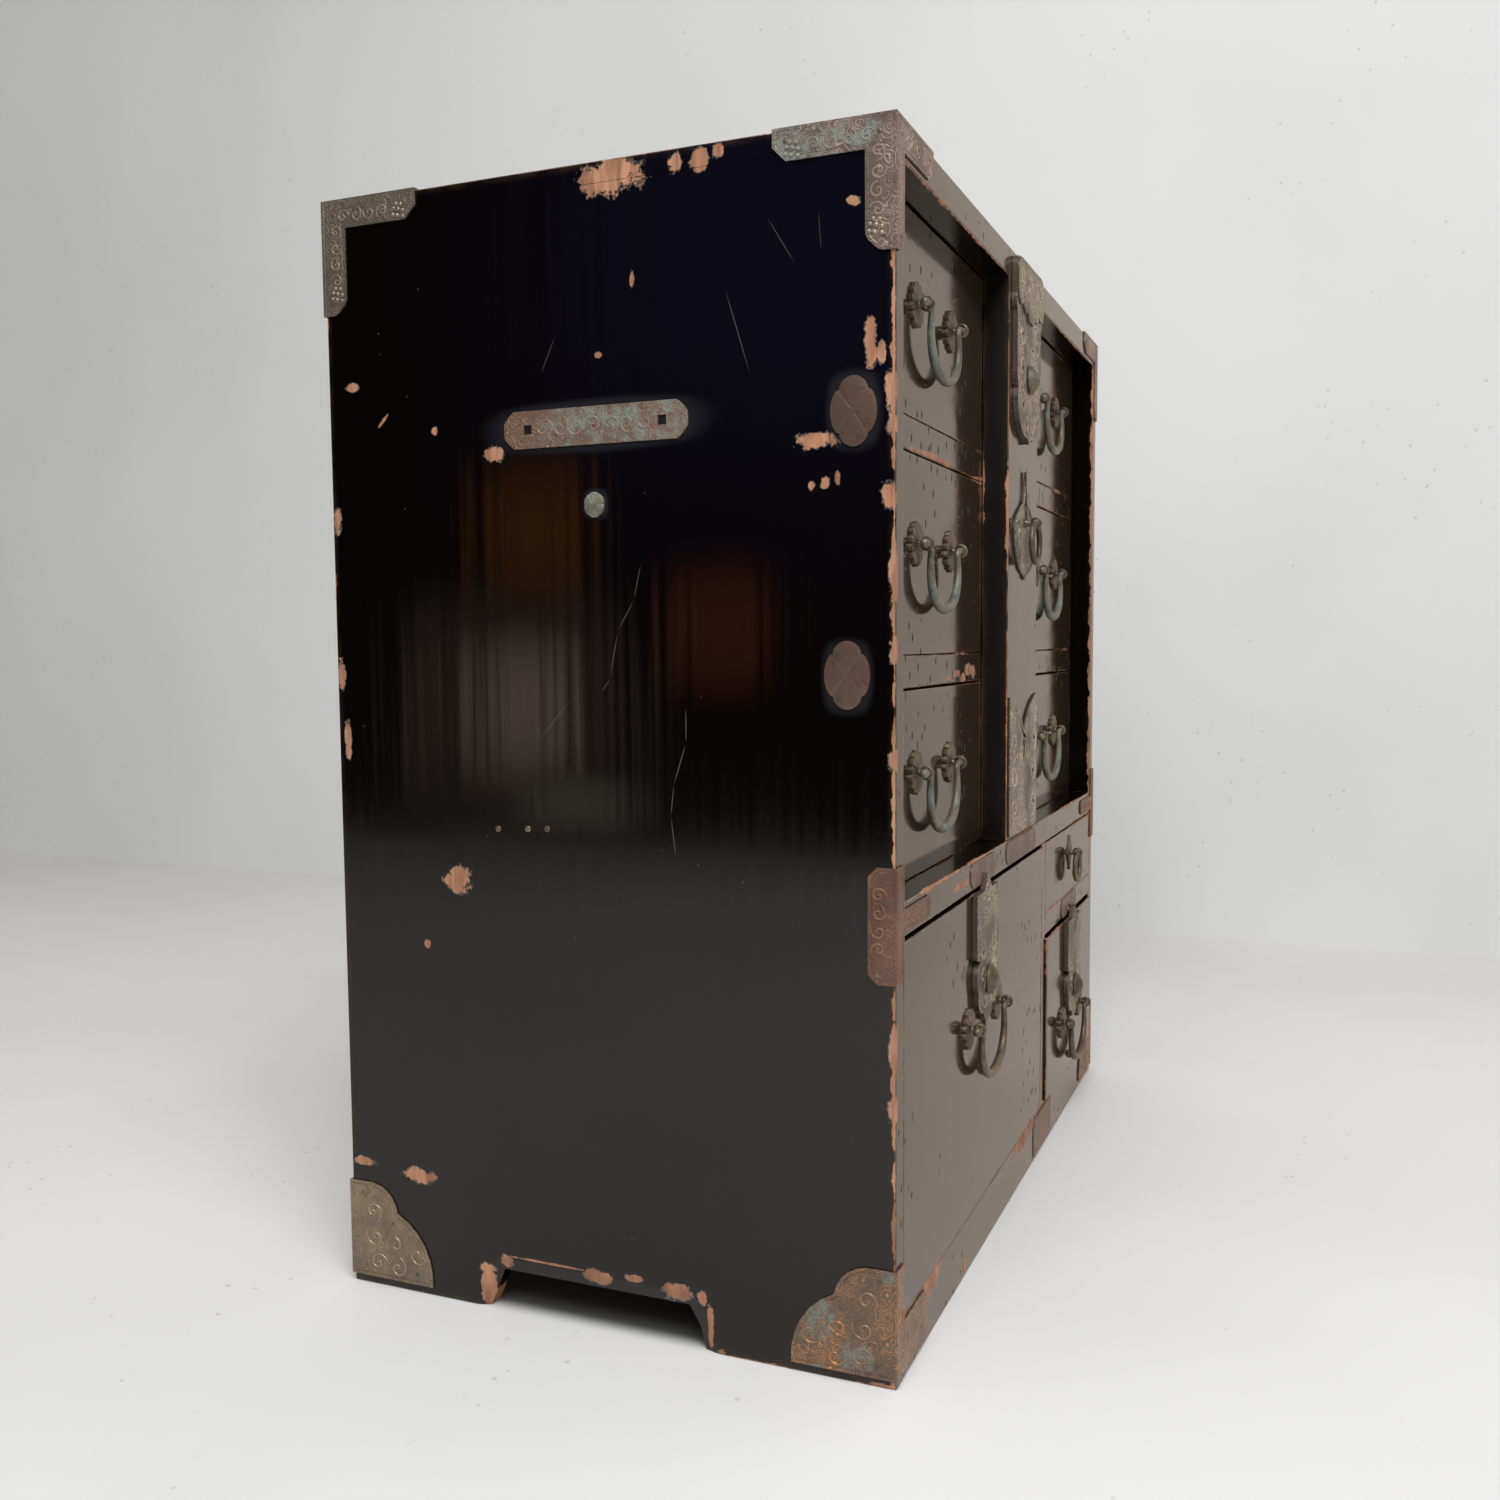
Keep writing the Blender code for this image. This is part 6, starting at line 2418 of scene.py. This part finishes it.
@dataclass
class CaseBoards:
    """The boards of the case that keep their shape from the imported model, eased where they are seen."""

    finishes: tuple[tuple[str, LacquerFinish], ...] = (
        ("top_board", TOP_LACQUER),
        ("middle_shelf", SHELF_LACQUER),
        ("bottom_rail", RAIL_LACQUER),
        ("upper_shelf_1", ROW_LACQUER),
        ("upper_shelf_2", ROW_LACQUER),
        ("small_drawer_shelf", FRONT_LACQUER),
        ("partition_left", POST_LACQUER),
        ("partition_right", POST_LACQUER),
        ("lower_partition", POST_LACQUER),
    )
    base_plate: tuple[float, float] = (0.045, 0.0195)
    base_plate_z: float = 0.0245
    base_nails: tuple[float, float] = (0.84, 0.7)

    def build(self) -> None:
        """Builds and dresses the boards."""
        for node, finish in self.finishes:
            made = finish.material(node, *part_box(node))
            add_piece(eased_node(node), f"{node}_board", made, "case", [node], 24)
        for node in ("back_panel", "bottom_board"):
            dress_node(node, BACK_WOOD.material(f"{node}_wood"))
        self.build_base_plate()

    def build_base_plate(self) -> None:
        """Builds the plate nailed on the bottom rail, under the foot of the lower partition."""
        low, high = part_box("lower_partition")
        middle = (low.x + high.x) / 2
        half_w, half_h = self.base_plate
        rim = mirrored_outline([(half_w, half_h, 0), (half_w, -half_h, 0)])
        add_rail_plate("base_rail_plate", rim, Vector((middle, RAIL_LOW.y, self.base_plate_z)))
        nail_x, nail_z = self.base_nails[0] * half_w, self.base_nails[1] * half_h
        heads = []
        for across in (-nail_x, nail_x):
            for up in (-nail_z, nail_z):
                spot = (middle + across, RAIL_LOW.y - RAIL_PLATE_T, self.base_plate_z + up)
                heads.append(on_front(nail_shape(), *spot))
        add_fitting(join_shapes(heads), "base_rail_plate_nails", IRON_NAIL)


@dataclass(frozen=True)
class Camera:
    """Where the chest is seen from, measured from its lower front left corner."""

    place: tuple[float, float, float] = (-0.94347, -0.28836, 0.54216)
    yaw: float = 1.1704
    pitch: float = -0.0758
    roll: float = -0.0080
    lens: float = 33.705

    def build(self) -> None:
        """Adds the camera and makes it the scene's own."""
        level = math.cos(self.pitch)
        forward = Vector((math.sin(self.yaw) * level, math.cos(self.yaw) * level, math.sin(self.pitch)))
        right = Vector((math.cos(self.yaw), -math.sin(self.yaw), 0))
        up = right.cross(forward)
        rolled_right = right * math.cos(self.roll) + up * math.sin(self.roll)
        rolled_up = up * math.cos(self.roll) - right * math.sin(self.roll)
        data = bpy.data.cameras.new("camera")
        data.sensor_width = 36.0
        data.sensor_fit = "HORIZONTAL"
        data.lens = self.lens
        data.clip_start = 0.01
        camera = bpy.data.objects.new("camera", data)
        bpy.context.scene.collection.objects.link(camera)
        turn = Matrix((rolled_right, rolled_up, -forward)).transposed().to_4x4()
        corner = Vector((-HALF_W, FRONT_Y, 0))
        camera.matrix_world = Matrix.Translation(corner + Vector(self.place)) @ turn
        bpy.context.scene.camera = camera


@dataclass(frozen=True)
class Studio:
    """A pale floor and wall, soft light, and a dim room to the left of the chest."""

    paint: Colour = (0.86, 0.86, 0.855, 1.0)
    painted_warm_reflection: Colour = (0.835, 0.740, 0.648, 1.0)
    span: float = 12.0
    middle_y: float = 2.0
    floor_left: float = -2.75
    wall_x: float = 1.29
    lamp_place: tuple[float, float, float] = (-1.9, -0.9, 2.8)
    lamp_target: tuple[float, float, float] = (-0.45, -0.05, 0.0)
    lamp_size: float = 2.0
    lamp_power: float = 92.0
    daylight: Colour = (0.34, 0.34, 0.34, 1.0)
    shine: Colour = (0.75, 0.75, 0.75, 1.0)
    gloom: Colour = (0.010, 0.010, 0.012, 1.0)

    def build(self) -> None:
        """Adds the floor, the wall, the lamp and the world."""
        half = self.span / 2
        floor_middle = Vector((self.floor_left + half, self.middle_y, 0.0))
        floor = self.plane("floor", floor_middle, Matrix.Identity(4))
        wall_middle = Vector((self.wall_x, self.middle_y, half))
        wall = self.plane("wall", wall_middle, Matrix.Rotation(-math.pi / 2, 4, "Y"))
        self.build_lamp()
        self.build_world()

    def plane(self, name: str, centre: Vector, turn: Matrix) -> bpy.types.Object:
        """A plain square of the stage.

        Args:
            name: its name.
            centre: its middle.
            turn: how it is turned.

        Returns:
            The object.
        """
        shape = bmesh.new()
        bmesh.ops.create_grid(shape, x_segments=1, y_segments=1, size=self.span / 2)
        moved(shape, Matrix.Translation(centre) @ turn)
        mesh = bpy.data.meshes.new(name)
        shape.to_mesh(mesh)
        shape.free()
        mesh.materials.append(self.paint_material(name))
        made = bpy.data.objects.new(name, mesh)
        bpy.context.scene.collection.objects.link(made)
        return made

    def paint_material(self, name: str) -> Material:
        """Pale paint, a little worn, with specks, a painted shadow under the chest, a painted warm
        reflection for glossy rays, and clear from behind.

        Args:
            name: the square's name.

        Returns:
            The material.
        """
        made, graph, shader = new_material(f"{name}_paint")
        place = graph.place()
        x, y, _ = graph.split(place)
        worn = graph.rise(graph.noise(place, 1.3, 5.0), 0.35, 0.75)
        dull = tuple(channel * 0.93 for channel in self.paint[:3]) + (1.0,)
        colour = graph.mix(worn, self.paint, dull)
        speck = graph.fall(graph.cells(place, 42.0), 0.06, 0.12)
        speck = graph.times(speck, graph.rise(graph.noise(place, 5.0, 2.0), 0.52, 0.62))
        colour = graph.mix(graph.times(speck, 0.35), colour, (0.25, 0.25, 0.25, 1.0))
        # Painted shadow: in a rectangle under the chest the floor's colour is taken almost to black.
        across = graph.fall(graph.math("ABSOLUTE", x), HALF_W - 0.02, HALF_W + 0.004)
        along = graph.times(graph.rise(y, FRONT_Y, FRONT_Y + 0.05), graph.fall(y, BACK_Y - 0.05, BACK_Y))
        under = graph.times(graph.times(across, along), 0.92)
        # Painted reflection: glossy rays see the floor and wall from a little left of the chest's middle
        # rightwards in a warm tint, standing in for a warm room reflected in the lacquer.
        glossy = graph.add("ShaderNodeLightPath").outputs["Is Glossy Ray"]
        colour = graph.mix(graph.times(glossy, graph.rise(x, -HALF_W, -0.2)), colour, self.painted_warm_reflection)
        graph.put(shader.inputs["Base Color"], graph.mix(under, colour, (0.03, 0.03, 0.03, 1.0)))
        shader.inputs["Roughness"].default_value = PAINT_ROUGH
        sight = graph.add("ShaderNodeMixShader")
        behind = graph.add("ShaderNodeNewGeometry").outputs["Backfacing"]
        clear = graph.add("ShaderNodeBsdfTransparent").outputs["BSDF"]
        for socket, value in zip(sight.inputs, (behind, shader.outputs["BSDF"], clear)):
            graph.put(socket, value)
        graph.put(made.node_tree.nodes["Material Output"].inputs["Surface"], sight.outputs["Shader"])
        return made

    def build_lamp(self) -> None:
        """Adds a square soft lamp that looks at the floor by the chest."""
        data = bpy.data.lights.new("left_lamp", "AREA")
        data.shape = "SQUARE"
        data.size = self.lamp_size
        data.energy = self.lamp_power
        lamp = bpy.data.objects.new("left_lamp", data)
        bpy.context.scene.collection.objects.link(lamp)
        lamp.location = self.lamp_place
        look = Vector(self.lamp_target) - Vector(self.lamp_place)
        lamp.rotation_euler = look.to_track_quat("-Z", "Y").to_euler()

    def build_world(self) -> None:
        """Adds an even pale world that reflections see as dim to the left, where the room is dark."""
        world = bpy.data.worlds.new("room")
        bpy.context.scene.world = world
        world.use_nodes = True
        graph = Graph(world.node_tree)
        shader = world.node_tree.nodes["Background"]
        x, _, _ = graph.split(graph.add("ShaderNodeTexCoord").outputs["Generated"])
        room = graph.mix(graph.rise(x, -0.35, 0.25), self.gloom, self.shine)
        glossy = graph.add("ShaderNodeLightPath").outputs["Is Glossy Ray"]
        graph.put(shader.inputs["Color"], graph.mix(glossy, self.daylight, room))


UPPER_DRAWERS = [f"{side}_drawer_{row}" for side in ("left", "right") for row in (1, 2, 3)]
DRAWERS = (
    *(DrawerFront(name, GREEN_BRONZE) for name in UPPER_DRAWERS),
    DrawerFront("large_drawer", BROWN_BRONZE, locks=True),
    DrawerFront("deep_drawer", BROWN_BRONZE, locks=True),
    DrawerFront("small_drawer", BROWN_BRONZE, ring=True),
)


def main() -> None:
    """Builds the chest's looks in order."""
    logging.basicConfig(level=logging.INFO)
    bpy.context.scene.view_settings.view_transform = "Standard"
    Camera().build()
    CaseBoards().build()
    SideBoard(Side.LEFT, SIDE_LACQUER).build()
    SideBoard(Side.RIGHT, FAR_SIDE_LACQUER).build()
    for drawer in DRAWERS:
        drawer.build()
    DrawerLock("large_drawer", "middle_shelf").build()
    DrawerLock("deep_drawer", "small_drawer_shelf").build()
    LockingBar().build()
    build_sheet_fittings()
    Studio().build()


if __name__ == "__main__":
    main()
